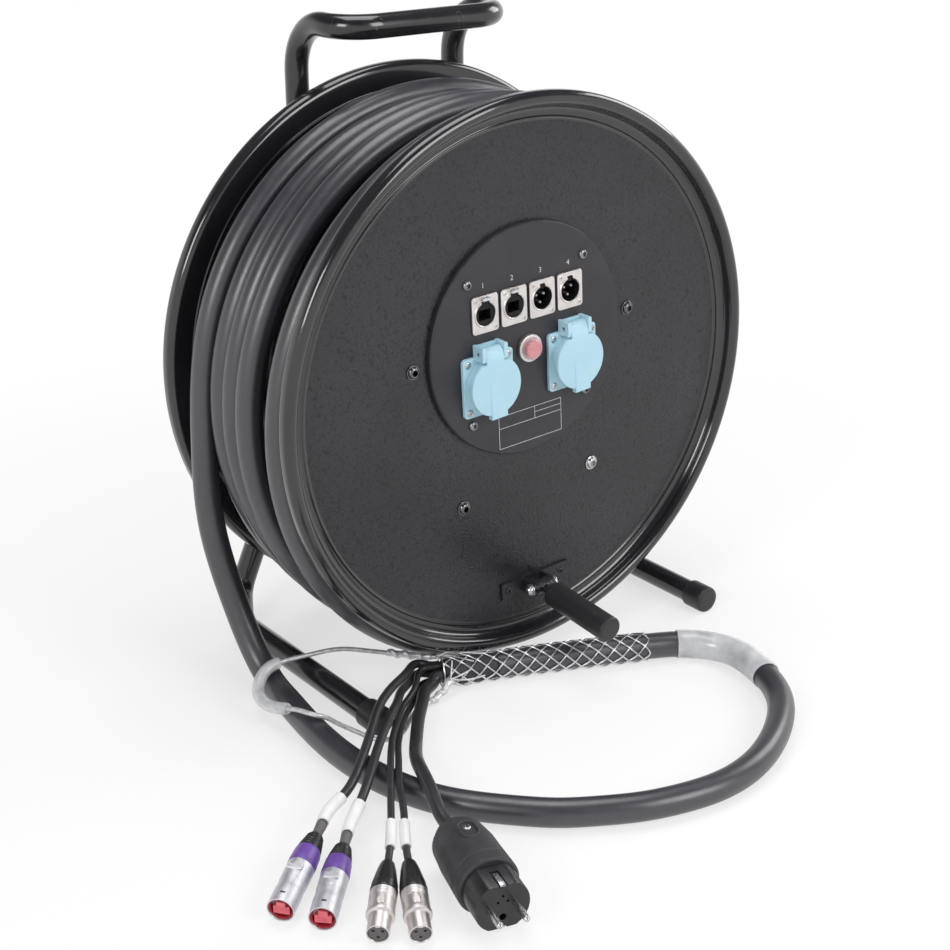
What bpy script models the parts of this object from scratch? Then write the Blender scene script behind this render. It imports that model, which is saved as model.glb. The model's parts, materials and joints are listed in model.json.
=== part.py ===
"""A hybrid cable (data, audio and power in one jacket) on its steel drum, with the tubular stand that carries the
drum, the connector panel in the drum's front flange, and the pulling grip and five plugs at the cable's free end.

Metres, +Z up. The drum turns on an axle along Y and its panel faces -Y. The origin is on the floor, under the
middle of the object without its cable.
"""

import math

import bmesh
import bpy
import numpy as np
from mathutils import Vector

# General
MM = 0.001
GAP = 0.0003
ROUND_SIDES = 20
SMALL_SIDES = 16
SMOOTH_ANGLE = math.radians(35)

# Drum: two flanges with a rolled rim, and the barrel between them
AXLE_HEIGHT = 0.248
DRUM_TURN = math.radians(3)
FLANGE_RADIUS = 0.235
FLANGE_FACE = 0.085
FLANGE_SHEET = 0.0025
RIM_ROLL = 0.006
RIM_STAND_OUT = 0.0128
RIM_START = 0.213
FLANGE_SIDES = 48
BARREL_RADIUS = 0.125
BARREL_SIDES = 32
BARREL_WALL = 0.003
BARREL_LIP = 0.0135
BARREL_LIP_SHEET = 0.0025
INNER_FACE = FLANGE_FACE - FLANGE_SHEET

# Axle: the shaft is fixed to the stand, and the drum's hub turns on two bearings
SHAFT_RADIUS = 0.010
SHAFT_HEAD_FLATS = 0.030
SHAFT_HEAD_HEIGHT = 0.012
SHAFT_END = -0.048
BEARING_RADIUS = 0.021
BEARING_WIDTH = 0.012
HUB_WALL = 0.0037
HUB_END = -0.035
NUT_FLATS = 0.030
NUT_HEIGHT = 0.0105
COLLAR_RADIUS = 0.014

# Bolts that hold the front flange to the barrel
BOLT_CIRCLE = 0.116
BOLT_ANGLES = (18, 162, 234, 306)
BOLT_HEAD_RADIUS = 0.0055
BOLT_HEAD_HEIGHT = 0.003
BOLT_RADIUS = 0.003
BOLT_NUT_HEIGHT = 0.004

# Connector panel
PANEL_RADIUS = 0.097
PANEL_RISE = 0.0365
PANEL_THICKNESS = 0.005
PANEL_BEVEL = 0.001
PANEL_OPENING = 0.074
PANEL_BACK = FLANGE_FACE + GAP
PANEL_FACE = PANEL_BACK + PANEL_THICKNESS - GAP

# Signal sockets: a plate of 26 x 31 mm over a round body
SIGNAL_WIDTH = 0.026
SIGNAL_HEIGHT = 0.031
SIGNAL_CORNER = 0.0025
SIGNAL_PLATE = 0.002
SIGNAL_BODY_RADIUS = 0.0118
SIGNAL_BODY_DEPTH = 0.024
SIGNAL_PITCH = 0.0288
SIGNAL_RISE = 0.069
SIGNAL_MOUTH_RADIUS = 0.0095
SIGNAL_MOUTH_DEPTH = 0.017
JACK_WIDTH = 0.0118
JACK_HEIGHT = 0.0086
JACK_DEPTH = 0.011
LATCH_WIDTH = 0.008
LATCH_HEIGHT = 0.0026
LATCH_THICKNESS = 0.0032
LATCH_RISE = 0.0128
PIN_RADIUS = 0.0012
PIN_CIRCLE = 0.0045
PIN_LENGTH = 0.012

# Breaker: a round bezel with a red reset button under a clear boot
BREAKER_RISE = 0.030
BREAKER_RADIUS = 0.0115
BREAKER_RING = 0.004
BREAKER_BODY_RADIUS = 0.0088
BREAKER_BODY_DEPTH = 0.020
BREAKER_BORE = 0.0062
BUTTON_RADIUS = 0.0052
BUTTON_LENGTH = 0.014
BUTTON_STAND_OUT = 0.0036
BOOT_WALL = 0.0009
BOOT_HEIGHT = 0.0052
BOOT_RADIUS = 0.0093

# Power sockets: a square flange of 50 mm, a round well and a sprung lid
POWER_SIZE = 0.050
POWER_CORNER = 0.003
POWER_FLANGE = 0.0035
POWER_SPREAD = 0.0435
POWER_RISE = 0.0113
POWER_BODY_RADIUS = 0.0215
POWER_BODY_DEPTH = 0.030
POWER_RING_RADIUS = 0.0225
POWER_RING_HEIGHT = 0.0057
POWER_WELL_RADIUS = 0.0197
POWER_WELL_DEPTH = 0.0175
POWER_HOLE_RADIUS = 0.0026
POWER_HOLE_SPREAD = 0.0095
POWER_HOLE_DEPTH = 0.010
LID_RADIUS = 0.0245
LID_THICKNESS = 0.004
LID_GAP = 0.0005
LID_TOP = 0.0203
LID_TAB_WIDTH = 0.016
LID_TAB_OFFSET = 0.0015
LID_TAB_DROP = 0.027
HINGE_RISE = 0.0282
HINGE_OUT = 0.0077
HINGE_HALF = 0.0125
HINGE_EAR = 0.0035
HINGE_LOW = 0.022
HINGE_HIGH = 0.0345
HINGE_FRONT = 0.0135
HINGE_WALL = 0.0028
HINGE_CORNER = 0.003
HINGE_PIN_RADIUS = 0.0015
HINGE_NECK_RADIUS = 0.0042
RUNNING = 0.0003

# Crank: it folds about a pin on the front flange, and its grip turns on the rod
CRANK_DROP = 0.184
CRANK_OUT = 0.0135
CRANK_BASE_LEFT = 0.034
CRANK_BASE_RIGHT = 0.038
CRANK_BASE_HEIGHT = 0.015
CRANK_BASE_THICKNESS = 0.002
CRANK_EAR_INNER = 0.009
CRANK_EAR_THICKNESS = 0.002
CRANK_EAR_RADIUS = 0.006
CRANK_PIN_RADIUS = 0.003
CRANK_PIN_HEAD = 0.006
CRANK_PIN_NUT = 0.004
CRANK_PIN_HEAD_HEIGHT = 0.003
CRANK_EYE_RADIUS = 0.0065
CRANK_ROD_RADIUS = 0.004
CRANK_REACH = 0.083
CRANK_ROD_HEAD = 0.0062
CRANK_ROD_HEAD_HEIGHT = 0.003
CRANK_DROOP = math.radians(4)
GRIP_START = 0.0085
GRIP_LENGTH = 0.080
GRIP_RADIUS = 0.011
GRIP_CAVITY = 0.0072

# Stand: one bent tube behind the drum, with a bar that carries the axle
TUBE_RADIUS = 0.010
FOOT_SPREAD = 0.178
FOOT_FRONT = -0.128
FOOT_REAR = 0.088
STAND_DEPTH = 0.1215
LEG_FOOT_SPREAD = 0.159
LEG_FOOT_HEIGHT = 0.026
LEG_SPREAD = 0.080
LEG_BEND_HEIGHT = 0.205
HANDLE_HEIGHT = 0.520
HANDLE_DEPTH = 0.0456
FOOT_BEND = 0.035
LEG_BEND = 0.030
SHOULDER_BEND = 0.042
HANDLE_BEND = 0.030
CAP_RADIUS = 0.012
CAP_LENGTH = 0.022
CAP_WALL = 0.003
CAP_FIT = 0.0008
AXLE_PLATE_THICKNESS = 0.008
AXLE_PLATE_HEIGHT = 0.070
BRAKE_OFFSET = 0.045
BRAKE_STEM_RADIUS = 0.004
BRAKE_PAD_RADIUS = 0.008
BRAKE_PAD_HEIGHT = 0.006
BRAKE_KNOB_RADIUS = 0.019
BRAKE_KNOB_HEIGHT = 0.014
BRAKE_LOBES = 5

# Cable
CABLE_RADIUS = 0.011
TURN_POINTS = 24
LANES = ((-0.0712, 0.226), (-0.0470, 0.206), (-0.0235, 0.224), (0.0, 0.222), (0.0235, 0.219))
LANE_SAG = 0.010
LANE_CHANGE_START = math.radians(300)
WINDING_START = math.radians(20)
TAIL_DIVE_START = math.radians(260)
TAIL_DIVE_SPAN = math.radians(60)
PACK_CLEARANCE = 0.0022
GROOVE_EDGE = 0.0120
GROOVE_RADIUS = 0.178
STANDING_LANE = (0.048, 0.2227)
STANDING_SAG = 0.0086
STANDING_START = (0.071, 0.200)
STANDING_START_ANGLE = math.radians(-110)
STANDING_SETTLED_ANGLE = math.radians(-15)

# The cable's way from the top of the drum down to the floor and round to the grip, in millimetres from the
# middle of the drum's width and from the floor
FREE_ROUTE = (
    (-225.5, 48, 200), (-226.5, 47, 173), (-226.5, 41, 131), (-223, 33, 97), (-218.5, 20, 62), (-215, 2, 31),
    (-214.5, -20, 14), (-218.5, -50, 11.4), (-223, -79.5, 11.2), (-228.7, -132.4, 11.2), (-227.1, -178.7, 11.2),
    (-219.5, -213.8, 11.2), (-206.1, -245.9, 11.2), (-188.3, -270.9, 11.2), (-168.3, -292.6, 11.2),
    (-146.9, -312.1, 11.2), (-122.1, -327.7, 11.2), (-95.5, -341.4, 11.2), (-65, -351.3, 11.2), (-29.3, -356.6, 11.2),
    (6.4, -352.5, 11.2), (42.6, -338.4, 11.2), (76.5, -316.7, 11.2), (99.7, -294.6, 11.3), (114.9, -268.9, 12),
    (122.2, -244.5, 12.7), (125.2, -218.1, 13), (117.1, -196.1, 13), (99.1, -177.9, 13),
    (77, -166, 13.2), (34, -147, 13.3), (-8.4, -128.5, 13.3), (-50, -112, 13.3),
)
FREE_SPACING = 0.038

# Pieces on the cable, placed by their distance from the cable's end
SLEEVE_CLEARANCE = 0.0006
GRIP_SLEEVE_WALL = 0.0010
CLEAR_SLEEVE_WALL = 0.0009
CLEAR_SLEEVE_START = 0.257
CLEAR_SLEEVE_LENGTH = 0.097
MESH_LENGTH = 0.145
SPLITTER_LENGTH = 0.0475
SPLITTER_RADIUS = 0.0113

# Tails and their connectors
CAT_RADIUS = 0.0036
AUDIO_RADIUS = 0.0027
POWER_RADIUS = 0.0052
TAIL_SPACING = 0.016
TAIL_LEAD = 0.006
CAT_CONNECTOR_LENGTH = 0.088
CAT_CONNECTOR_RADIUS = 0.0098
AUDIO_CONNECTOR_LENGTH = 0.068
AUDIO_CONNECTOR_RADIUS = 0.0095
PLUG_LENGTH = 0.080
PLUG_RADIUS = 0.0215
PLUG_PIN_RADIUS = 0.0024
PLUG_PIN_LENGTH = 0.019
PLUG_PIN_SPREAD = 0.0095

# Each tail: name, kind, its place on the boot's face (to the front and up), its route over the floor, its
# connector's front, and the direction from there back to the tail. Millimetres, as in FREE_ROUTE.
TAILS = (
    ("cat_tail_1", "cat", (-6.6, 3.9), (
        (-105, -81, 19), (-125, -91, 23.5), (-152, -110.5, 28.5), (-167, -121.5, 30.5), (-181.5, -133, 31),
        (-211, -162.5, 29), (-241, -193, 28), (-268, -214.5, 25),
    ), (-368.2, -288.2, 10.8), (0.774, 0.620, 0.127)),
    ("cat_tail_2", "cat", (-6.6, -3.9), (
        (-104, -81.5, 10), (-124, -91, 13), (-148, -112.5, 20.5), (-165, -131, 24), (-176, -141, 25.5),
        (-186.5, -151, 26), (-219.5, -184, 27.5), (-247.5, -214, 27.5), (-268.8, -232.5, 23),
    ), (-350.8, -312.8, 10.5), (0.693, 0.717, 0.075)),
    ("audio_tail_1", "audio", (-0.2, 6.4), (
        (-106, -88.5, 18.8), (-126.5, -103.3, 15.6), (-151, -121, 14), (-171, -141, 16.5), (-195, -169, 21),
        (-218, -200, 26.5), (-238, -229, 27.5), (-253, -251, 25),
    ), (-330.7, -348.0, 10.4), (0.642, 0.755, 0.135)),
    ("audio_tail_2", "audio", (-0.2, -6.4), (
        (-105, -89, 5.5), (-127, -103.5, 5.5), (-150, -124, 7.7), (-165, -139, 9.5), (-186.5, -164.5, 12.5),
        (-209.5, -198, 22.5), (-231.5, -231, 27.5), (-247.5, -259, 25),
    ), (-308.4, -365.0, 10.4), (0.470, 0.870, 0.152)),
    ("power_tail", "power", (6.0, 0.0), (
        (-104.5, -99, 11.5), (-118, -106, 10), (-130, -118, 10), (-145.5, -135, 10), (-166, -160, 10),
        (-190, -193, 17), (-210.5, -230.5, 28.5), (-221.5, -257, 29.5), (-230.5, -280, 27),
    ), (-255.5, -378.0, 22.5), (0.250, 0.968, 0.031)),
)
TAIL_SIZES = {
    "cat": (CAT_RADIUS, CAT_CONNECTOR_LENGTH),
    "audio": (AUDIO_RADIUS, AUDIO_CONNECTOR_LENGTH),
    "power": (POWER_RADIUS, PLUG_LENGTH),
}

# Wire rope eye
ROPE_RADIUS = 0.0018
ROPE_SPACING = 0.014
THIMBLE_RADIUS = 0.0042
THIMBLE_BORE = 0.0023
THIMBLE_STRETCH = (0.245, 0.155)
ROPE_ROUTE = (
    (-86.5, -81.3, 13), (-97, -67, 13.5), (-112, -56, 18), (-133.5, -46.5, 25.5), (-154.5, -34.5, 29),
    (-180.5, -29, 30), (-206, -27, 31), (-221, -28, 29.5), (-234, -35, 22), (-240, -48, 17.5),
    (-240, -63, 20), (-231, -77, 28), (-214, -87, 28.5), (-203, -95, 15), (-198, -113, 7), (-194, -131, 4.5),
    (-181, -140, 3), (-163, -135, 2.2), (-146.5, -125, 2.2), (-131, -118, 2.2), (-117, -117, 4),
    (-106, -115, 9), (-96, -110.2, 14),
)


def clear_scene():
    for obj in list(bpy.data.objects):
        bpy.data.objects.remove(obj)


def material(name, color, roughness, metallic=0.0, alpha=1.0):
    made = bpy.data.materials.new(name)
    made.use_nodes = True
    surface = made.node_tree.nodes["Principled BSDF"]
    surface.inputs["Base Color"].default_value = (*color, 1.0)
    surface.inputs["Roughness"].default_value = roughness
    surface.inputs["Metallic"].default_value = metallic
    surface.inputs["Alpha"].default_value = alpha
    return made


def empty(name, parent=None, location=(0, 0, 0), rotation=(0, 0, 0)):
    obj = bpy.data.objects.new(name, None)
    bpy.context.collection.objects.link(obj)
    obj.parent = parent
    obj.location = location
    obj.rotation_euler = rotation
    return obj


def piece(name, data, surface, parent, location=(0, 0, 0), rotation=(0, 0, 0)):
    """One physical piece as an object of its own."""
    obj = bpy.data.objects.new(name, data)
    bpy.context.collection.objects.link(obj)
    data.materials.append(surface)
    obj.parent = parent
    obj.location = location
    obj.rotation_euler = rotation
    return obj


def cutter(data, parent, location=(0, 0, 0)):
    """A helper that cuts or joins a piece and isn't one itself."""
    obj = bpy.data.objects.new("helper", data)
    bpy.context.collection.objects.link(obj)
    obj.parent = parent
    obj.location = location
    obj.hide_render = True
    obj.display_type = "WIRE"
    return obj


def combine(target, operation, helpers):
    for helper in helpers:
        modifier = target.modifiers.new(operation.lower(), "BOOLEAN")
        modifier.operation = operation
        modifier.solver = "EXACT"
        modifier.object = helper
    return target


def circle(radius, sides=ROUND_SIDES):
    """Points of a circle, half a step from the axes so that they match rounded_rectangle."""
    angles = 2 * math.pi * (np.arange(sides) + 0.5) / sides
    return radius * np.column_stack([np.cos(angles), np.sin(angles)])


def lobed(radius, lobes, depth, sides):
    angles = 2 * math.pi * (np.arange(sides) + 0.5) / sides
    reach = radius - depth * (0.5 - 0.5 * np.cos(lobes * angles))
    return reach[:, None] * np.column_stack([np.cos(angles), np.sin(angles)])


def hexagon(flats, sides=24):
    """A hexagon at the angles of circle(), with its first corner at the first of them."""
    angles = 2 * math.pi * (np.arange(sides) + 0.5) / sides
    within = (angles - angles[0]) % (math.pi / 3) - math.pi / 6
    reach = flats / 2 / np.cos(within)
    return reach[:, None] * np.column_stack([np.cos(angles), np.sin(angles)])


def rounded_rectangle(width, height, corner, sides=ROUND_SIDES):
    quarter = sides // 4
    sweep = np.linspace(0, math.pi / 2, quarter)
    points = []
    for index, (right, up) in enumerate(((1, 1), (-1, 1), (-1, -1), (1, -1))):
        angles = sweep + index * math.pi / 2
        points.append(np.column_stack([
            right * (width / 2 - corner) + corner * np.cos(angles),
            up * (height / 2 - corner) + corner * np.sin(angles),
        ]))
    return np.concatenate(points)


def ring(outline, height, axis="Y"):
    """A flat outline as 3-D points across an axis, at a height along it."""
    first, second = np.asarray(outline, float).T
    level = np.full(len(first), height)
    columns = {"X": (level, first, second), "Y": (first, level, second), "Z": (first, second, level)}
    return np.column_stack(columns[axis])


def skin(name, rings, looped=False):
    """A closed mesh over rings of points. Looped joins the last ring to the first, otherwise the ends are capped."""
    rings = np.asarray(rings, float)
    count, sides = rings.shape[:2]
    index = np.arange(count * sides).reshape(count, sides).tolist()
    faces = []
    for here in range(count if looped else count - 1):
        there = (here + 1) % count
        for side in range(sides):
            after = (side + 1) % sides
            faces.append((index[here][side], index[here][after], index[there][after], index[there][side]))
    if not looped:
        faces += [tuple(index[0]), tuple(index[-1])]
    mesh = bpy.data.meshes.new(name)
    mesh.from_pydata(rings.reshape(-1, 3).tolist(), [], faces)
    solid = bmesh.new()
    solid.from_mesh(mesh)
    bmesh.ops.recalc_face_normals(solid, faces=solid.faces)
    solid.to_mesh(mesh)
    solid.free()
    mesh.shade_smooth()
    mesh.set_sharp_from_angle(angle=SMOOTH_ANGLE)
    return mesh


def turned(name, profile, axis="Y", sides=ROUND_SIDES, looped=False):
    """A piece turned about an axis from (radius, height) points along its section."""
    return skin(name, [ring(circle(radius, sides), height, axis) for radius, height in profile], looped)


def prism(name, outline, low, high, axis="Y"):
    return skin(name, [ring(outline, low, axis), ring(outline, high, axis)])


def block(name, low, high):
    """A box between two corners."""
    low, high = np.minimum(low, high), np.maximum(low, high)
    corners = [(low[0], low[2]), (high[0], low[2]), (high[0], high[2]), (low[0], high[2])]
    return prism(name, corners, low[1], high[1])


def arc(centre, radius, start, stop, steps):
    """Points of an arc, angles in degrees, both ends included."""
    angles = np.radians(np.linspace(start, stop, steps + 1))
    return [(centre[0] + radius * math.cos(a), centre[1] + radius * math.sin(a)) for a in angles]


def tube(name, points, radius, surface, parent, sides=8):
    """A round tube along points, with closed ends."""
    curve = bpy.data.curves.new(name, "CURVE")
    curve.dimensions = "3D"
    curve.bevel_depth = radius
    curve.bevel_resolution = (sides - 4) // 2
    curve.use_fill_caps = True
    spline = curve.splines.new("POLY")
    spline.points.add(len(points) - 1)
    for point, place in zip(spline.points, points):
        point.co = (*place, 1.0)
    return piece(name, curve, surface, parent)


def bent_path(corners, radii, steps=3):
    """The centre line of a bent tube: straight runs joined by arcs at the inner corners."""
    corners = [Vector(corner) for corner in corners]
    path = [corners[0]]
    for before, corner, after, radius in zip(corners, corners[1:], corners[2:], radii):
        into = (corner - before).normalized()
        out = (after - corner).normalized()
        turn = into.angle(out)
        start = corner - into * radius * math.tan(turn / 2)
        inward = (out - into * out.dot(into)).normalized()
        for step in range(steps + 1):
            angle = turn * step / steps
            path.append(start + into * radius * math.sin(angle) + inward * radius * (1 - math.cos(angle)))
    path.append(corners[-1])
    return path


def walked(points):
    """The distance along a line of points to each of them."""
    return np.concatenate([[0.0], np.cumsum(np.linalg.norm(np.diff(points, axis=0), axis=1))])


def smooth_route(points, spacing):
    """Evenly spaced points of a natural cubic curve through a cord's own points."""
    points = np.asarray(points, float)
    knots = walked(points)
    gaps = np.diff(knots)
    count = len(points)
    matrix = np.eye(count)
    right = np.zeros_like(points)
    for i in range(1, count - 1):
        matrix[i, i - 1:i + 2] = gaps[i - 1], 2 * (gaps[i - 1] + gaps[i]), gaps[i]
        slope_after = (points[i + 1] - points[i]) / gaps[i]
        slope_before = (points[i] - points[i - 1]) / gaps[i - 1]
        right[i] = 6 * (slope_after - slope_before)
    bend = np.linalg.solve(matrix, right)
    fine = np.linspace(0, knots[-1], 40 * count)
    span = np.clip(np.searchsorted(knots, fine) - 1, 0, count - 2)
    width = gaps[span][:, None]
    ahead = (fine - knots[span])[:, None] / width
    behind = 1 - ahead
    curve = behind * points[span] + ahead * points[span + 1]
    curve += width**2 / 6 * ((behind**3 - behind) * bend[span] + (ahead**3 - ahead) * bend[span + 1])
    return resampled(curve, spacing)


def resampled(curve, spacing):
    distance = walked(curve)
    even = np.linspace(0, distance[-1], max(3, round(distance[-1] / spacing) + 1))
    return np.column_stack([np.interp(even, distance, curve[:, k]) for k in range(3)])


def stretch(route, start, stop):
    """The points of a route between two distances from its end, with both ends of the stretch."""
    back = walked(route)[-1] - walked(route)
    ends = [np.array([np.interp(-far, -back, route[:, k]) for k in range(3)]) for far in (start, stop)]
    return np.array([ends[0], *route[(back < start) & (back > stop)], ends[1]])


def unit(vectors):
    vectors = np.asarray(vectors, float)
    return vectors / np.linalg.norm(vectors, axis=-1, keepdims=True)


def rings_along(path, radii, sides):
    """Round sections across a path that lies more or less level."""
    tangent = unit(np.gradient(path, axis=0))
    side = unit(np.cross(tangent, (0, 0, 1)))
    top = np.cross(side, tangent)
    outline = circle(1.0, sides)
    return [
        centre + radius * (outline[:, :1] * across + outline[:, 1:] * up)
        for centre, radius, across, up in zip(path, radii, side, top)
    ]


def sleeve(name, path, bores, walls, sides=12):
    """A hollow sleeve along a path, open at both ends."""
    outside = rings_along(path, np.add(bores, walls), sides)
    inside = rings_along(path, bores, sides)
    return skin(name, outside + inside[::-1], looped=True)


def make_materials():
    return {
        "black_paint": material("black_paint", (0.012, 0.012, 0.013), 0.28),
        "jacket": material("jacket", (0.035, 0.034, 0.038), 0.42),
        "black_rubber": material("black_rubber", (0.018, 0.018, 0.019), 0.6),
        "black_plastic": material("black_plastic", (0.012, 0.012, 0.012), 0.35),
        "steel": material("steel", (0.55, 0.55, 0.56), 0.3, 1.0),
        "nickel": material("nickel", (0.66, 0.62, 0.6), 0.3, 1.0),
        "blue_plastic": material("blue_plastic", (0.38, 0.66, 0.84), 0.35),
        "red_plastic": material("red_plastic", (0.6, 0.03, 0.04), 0.3),
        "clear_plastic": material("clear_plastic", (0.85, 0.87, 0.88), 0.15, 0.0, 0.35),
        "wire": material("wire", (0.7, 0.7, 0.7), 0.3, 1.0),
    }


def disc_rings(side, opening, hub=()):
    """Rings round the section of a flange's disc, which ends where its rim begins."""
    edge = RIM_START - GAP
    section = [(edge, FLANGE_FACE), (edge, INNER_FACE), *hub]
    disc = [ring(circle(radius, FLANGE_SIDES), side * height) for radius, height in section]
    return [ring(opening, side * FLANGE_FACE), *disc, *([] if hub else [ring(opening, side * INNER_FACE)])]


def rim_section():
    """The section of a flange's rim: its face, the fillet, the roll and the inner face."""
    roll = FLANGE_RADIUS - RIM_ROLL
    fillet = RIM_STAND_OUT - RIM_ROLL
    top = FLANGE_FACE + fillet
    return [
        (RIM_START, FLANGE_FACE),
        *arc((roll - RIM_ROLL - fillet, top), fillet, -90, 0, 2),
        *arc((roll, top), RIM_ROLL, 180, 0, 4)[1:],
        *arc((roll, INNER_FACE + RIM_ROLL), RIM_ROLL, 0, -90, 2),
        (RIM_START, INNER_FACE),
    ]


def build_flanges(drum, paint):
    """Each flange is a disc in a rolled rim. The front one is bolted on and has the panel's opening. The rear one
    carries the welded hub tube."""
    opening = circle(PANEL_OPENING, FLANGE_SIDES) + [0, PANEL_RISE]
    front = piece("front_flange", skin("front_flange", disc_rings(-1, opening), looped=True), paint, drum)
    hub_radius = BEARING_RADIUS + GAP + HUB_WALL
    hub = [(hub_radius, INNER_FACE), (hub_radius, HUB_END), (BEARING_RADIUS + GAP, HUB_END)]
    opening = circle(BEARING_RADIUS + GAP, FLANGE_SIDES)
    piece("rear_flange", skin("rear_flange", disc_rings(1, opening, hub), looped=True), paint, drum)
    for name, side in (("front_rim", -1), ("rear_rim", 1)):
        section = [(radius, side * height) for radius, height in rim_section()]
        piece(name, turned(name, section, sides=FLANGE_SIDES, looped=True), paint, drum)
    return front


def build_barrel(drum, paint):
    """The rolled sheet barrel, with a lip at each end for the flanges."""
    end = INNER_FACE - GAP
    lip = BARREL_RADIUS - BARREL_LIP
    inside = BARREL_RADIUS - BARREL_WALL
    back = end - BARREL_LIP_SHEET
    section = [
        (BARREL_RADIUS, -end), (BARREL_RADIUS, end), (lip, end), (lip, back),
        (inside, back), (inside, -back), (lip, -back), (lip, -end),
    ]
    mesh = turned("drum_barrel", section, sides=BARREL_SIDES, looped=True)
    return piece("drum_barrel", mesh, paint, drum)


def bolt_places():
    return [
        (BOLT_CIRCLE * math.cos(math.radians(angle)), BOLT_CIRCLE * math.sin(math.radians(angle)))
        for angle in BOLT_ANGLES
    ]


def build_bolts(drum, steel, front_flange, barrel):
    """Each bolt clamps the flange to the barrel's lip with its nut, and both have a hole for it."""
    under_head = -(FLANGE_FACE + GAP)
    nut_face = -(INNER_FACE - GAP - BARREL_LIP_SHEET - GAP)
    nut_back = nut_face + BOLT_NUT_HEIGHT
    section = [
        (BOLT_HEAD_RADIUS * 0.6, under_head - BOLT_HEAD_HEIGHT),
        (BOLT_HEAD_RADIUS, under_head - BOLT_HEAD_HEIGHT * 0.6),
        (BOLT_HEAD_RADIUS, under_head), (BOLT_RADIUS, under_head), (BOLT_RADIUS, nut_face),
        (BOLT_HEAD_RADIUS, nut_face), (BOLT_HEAD_RADIUS, nut_back), (BOLT_RADIUS, nut_back),
        (BOLT_RADIUS, nut_back + BOLT_RADIUS / 2),
    ]
    mesh = turned("flange_bolt", section, sides=8)
    for number, (x, z) in enumerate(bolt_places(), 1):
        piece(f"flange_bolt_{number}", mesh.copy(), steel, drum, (x, 0, z))
        hole = turned("bolt_hole", [(BOLT_RADIUS + GAP, -0.1), (BOLT_RADIUS + GAP, -0.07)], sides=8)
        for plate in (front_flange, barrel):
            combine(plate, "DIFFERENCE", [cutter(hole, drum, (x, 0, z))])


def build_axle(stand, drum, steel, paint, plastic):
    """The fixed shaft, headed and collared on both sides of its plate, its nut and the hub's two bearings."""
    bore = SHAFT_RADIUS + GAP
    plate_back = STAND_DEPTH + AXLE_PLATE_THICKNESS / 2
    plate_front = STAND_DEPTH - AXLE_PLATE_THICKNESS / 2
    under_head = plate_back + GAP
    centre = (0, 0, AXLE_HEIGHT)
    head = hexagon(SHAFT_HEAD_FLATS)
    shank = circle(SHAFT_RADIUS, 24)
    collar = circle(COLLAR_RADIUS, 24)
    rings = [
        ring(head * 0.93, under_head + SHAFT_HEAD_HEIGHT),
        ring(head, under_head + SHAFT_HEAD_HEIGHT * 0.85), ring(head, under_head),
        ring(shank, under_head), ring(shank, plate_front - GAP), ring(collar, plate_front - GAP),
        ring(collar, INNER_FACE + GAP), ring(shank, INNER_FACE + GAP), ring(shank, SHAFT_END + 0.001),
        ring(shank * 0.9, SHAFT_END),
    ]
    piece("axle_shaft", skin("axle_shaft", rings), steel, stand, centre)

    rear_bearing = INNER_FACE - BEARING_WIDTH
    for name, start in (("hub_bearing_rear", rear_bearing), ("hub_bearing_front", HUB_END)):
        stop = start + BEARING_WIDTH
        section = [(bore, start), (bore, stop), (BEARING_RADIUS, stop), (BEARING_RADIUS, start)]
        piece(name, turned(name, section, looped=True), steel, drum)

    nut_face = HUB_END - GAP
    nut = hexagon(NUT_FLATS)
    rings = [
        ring(circle(bore, 24), nut_face), ring(nut, nut_face),
        ring(nut, nut_face - NUT_HEIGHT), ring(circle(bore, 24), nut_face - NUT_HEIGHT),
    ]
    piece("axle_nut", skin("axle_nut", rings, looped=True), steel, stand, centre)

    build_axle_plate(stand, paint, bore)
    build_brake(stand, plastic, plate_front, plate_back)


def build_axle_plate(stand, paint, bore):
    """The flat bar between the stand's legs, its ends coped round the tubes."""
    half = AXLE_PLATE_THICKNESS / 2
    cope = TUBE_RADIUS + GAP
    spread = math.degrees(math.asin(half / cope))
    right = arc((LEG_SPREAD, 0), cope, 180 + spread, 180 - spread, 4)
    left = [(-x, y) for x, y in reversed(right)]
    outline = [(x, STAND_DEPTH + y) for x, y in right + left]
    low = AXLE_HEIGHT - AXLE_PLATE_HEIGHT / 2
    mesh = prism("axle_plate", outline, low, low + AXLE_PLATE_HEIGHT, "Z")
    plate = piece("axle_plate", mesh, paint, stand)
    for x, radius in ((0, bore), (BRAKE_OFFSET, BRAKE_STEM_RADIUS + GAP)):
        through = [(radius, STAND_DEPTH - 2 * half), (radius, STAND_DEPTH + 2 * half)]
        hole = turned("axle_hole", through, sides=SMALL_SIDES)
        combine(plate, "DIFFERENCE", [cutter(hole, stand, (x, 0, AXLE_HEIGHT))])


def build_brake(stand, plastic, plate_front, plate_back):
    """A star knob behind the plate, whose stem ends in a pad that bears on the rear flange."""
    pad = circle(BRAKE_PAD_RADIUS)
    stem = circle(BRAKE_STEM_RADIUS)
    knob = lobed(BRAKE_KNOB_RADIUS, BRAKE_LOBES, 0.004, ROUND_SIDES)
    pad_face = FLANGE_FACE + GAP
    knob_face = plate_back + 2 * GAP
    rings = [
        ring(pad, pad_face), ring(pad, pad_face + BRAKE_PAD_HEIGHT), ring(stem, pad_face + BRAKE_PAD_HEIGHT),
        ring(stem, knob_face), ring(knob * 0.9, knob_face), ring(knob, knob_face + 0.0015),
        ring(knob, knob_face + BRAKE_KNOB_HEIGHT - 0.002), ring(knob * 0.85, knob_face + BRAKE_KNOB_HEIGHT),
    ]
    piece("brake_knob", skin("brake_knob", rings), plastic, stand, (BRAKE_OFFSET, 0, AXLE_HEIGHT))


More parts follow.
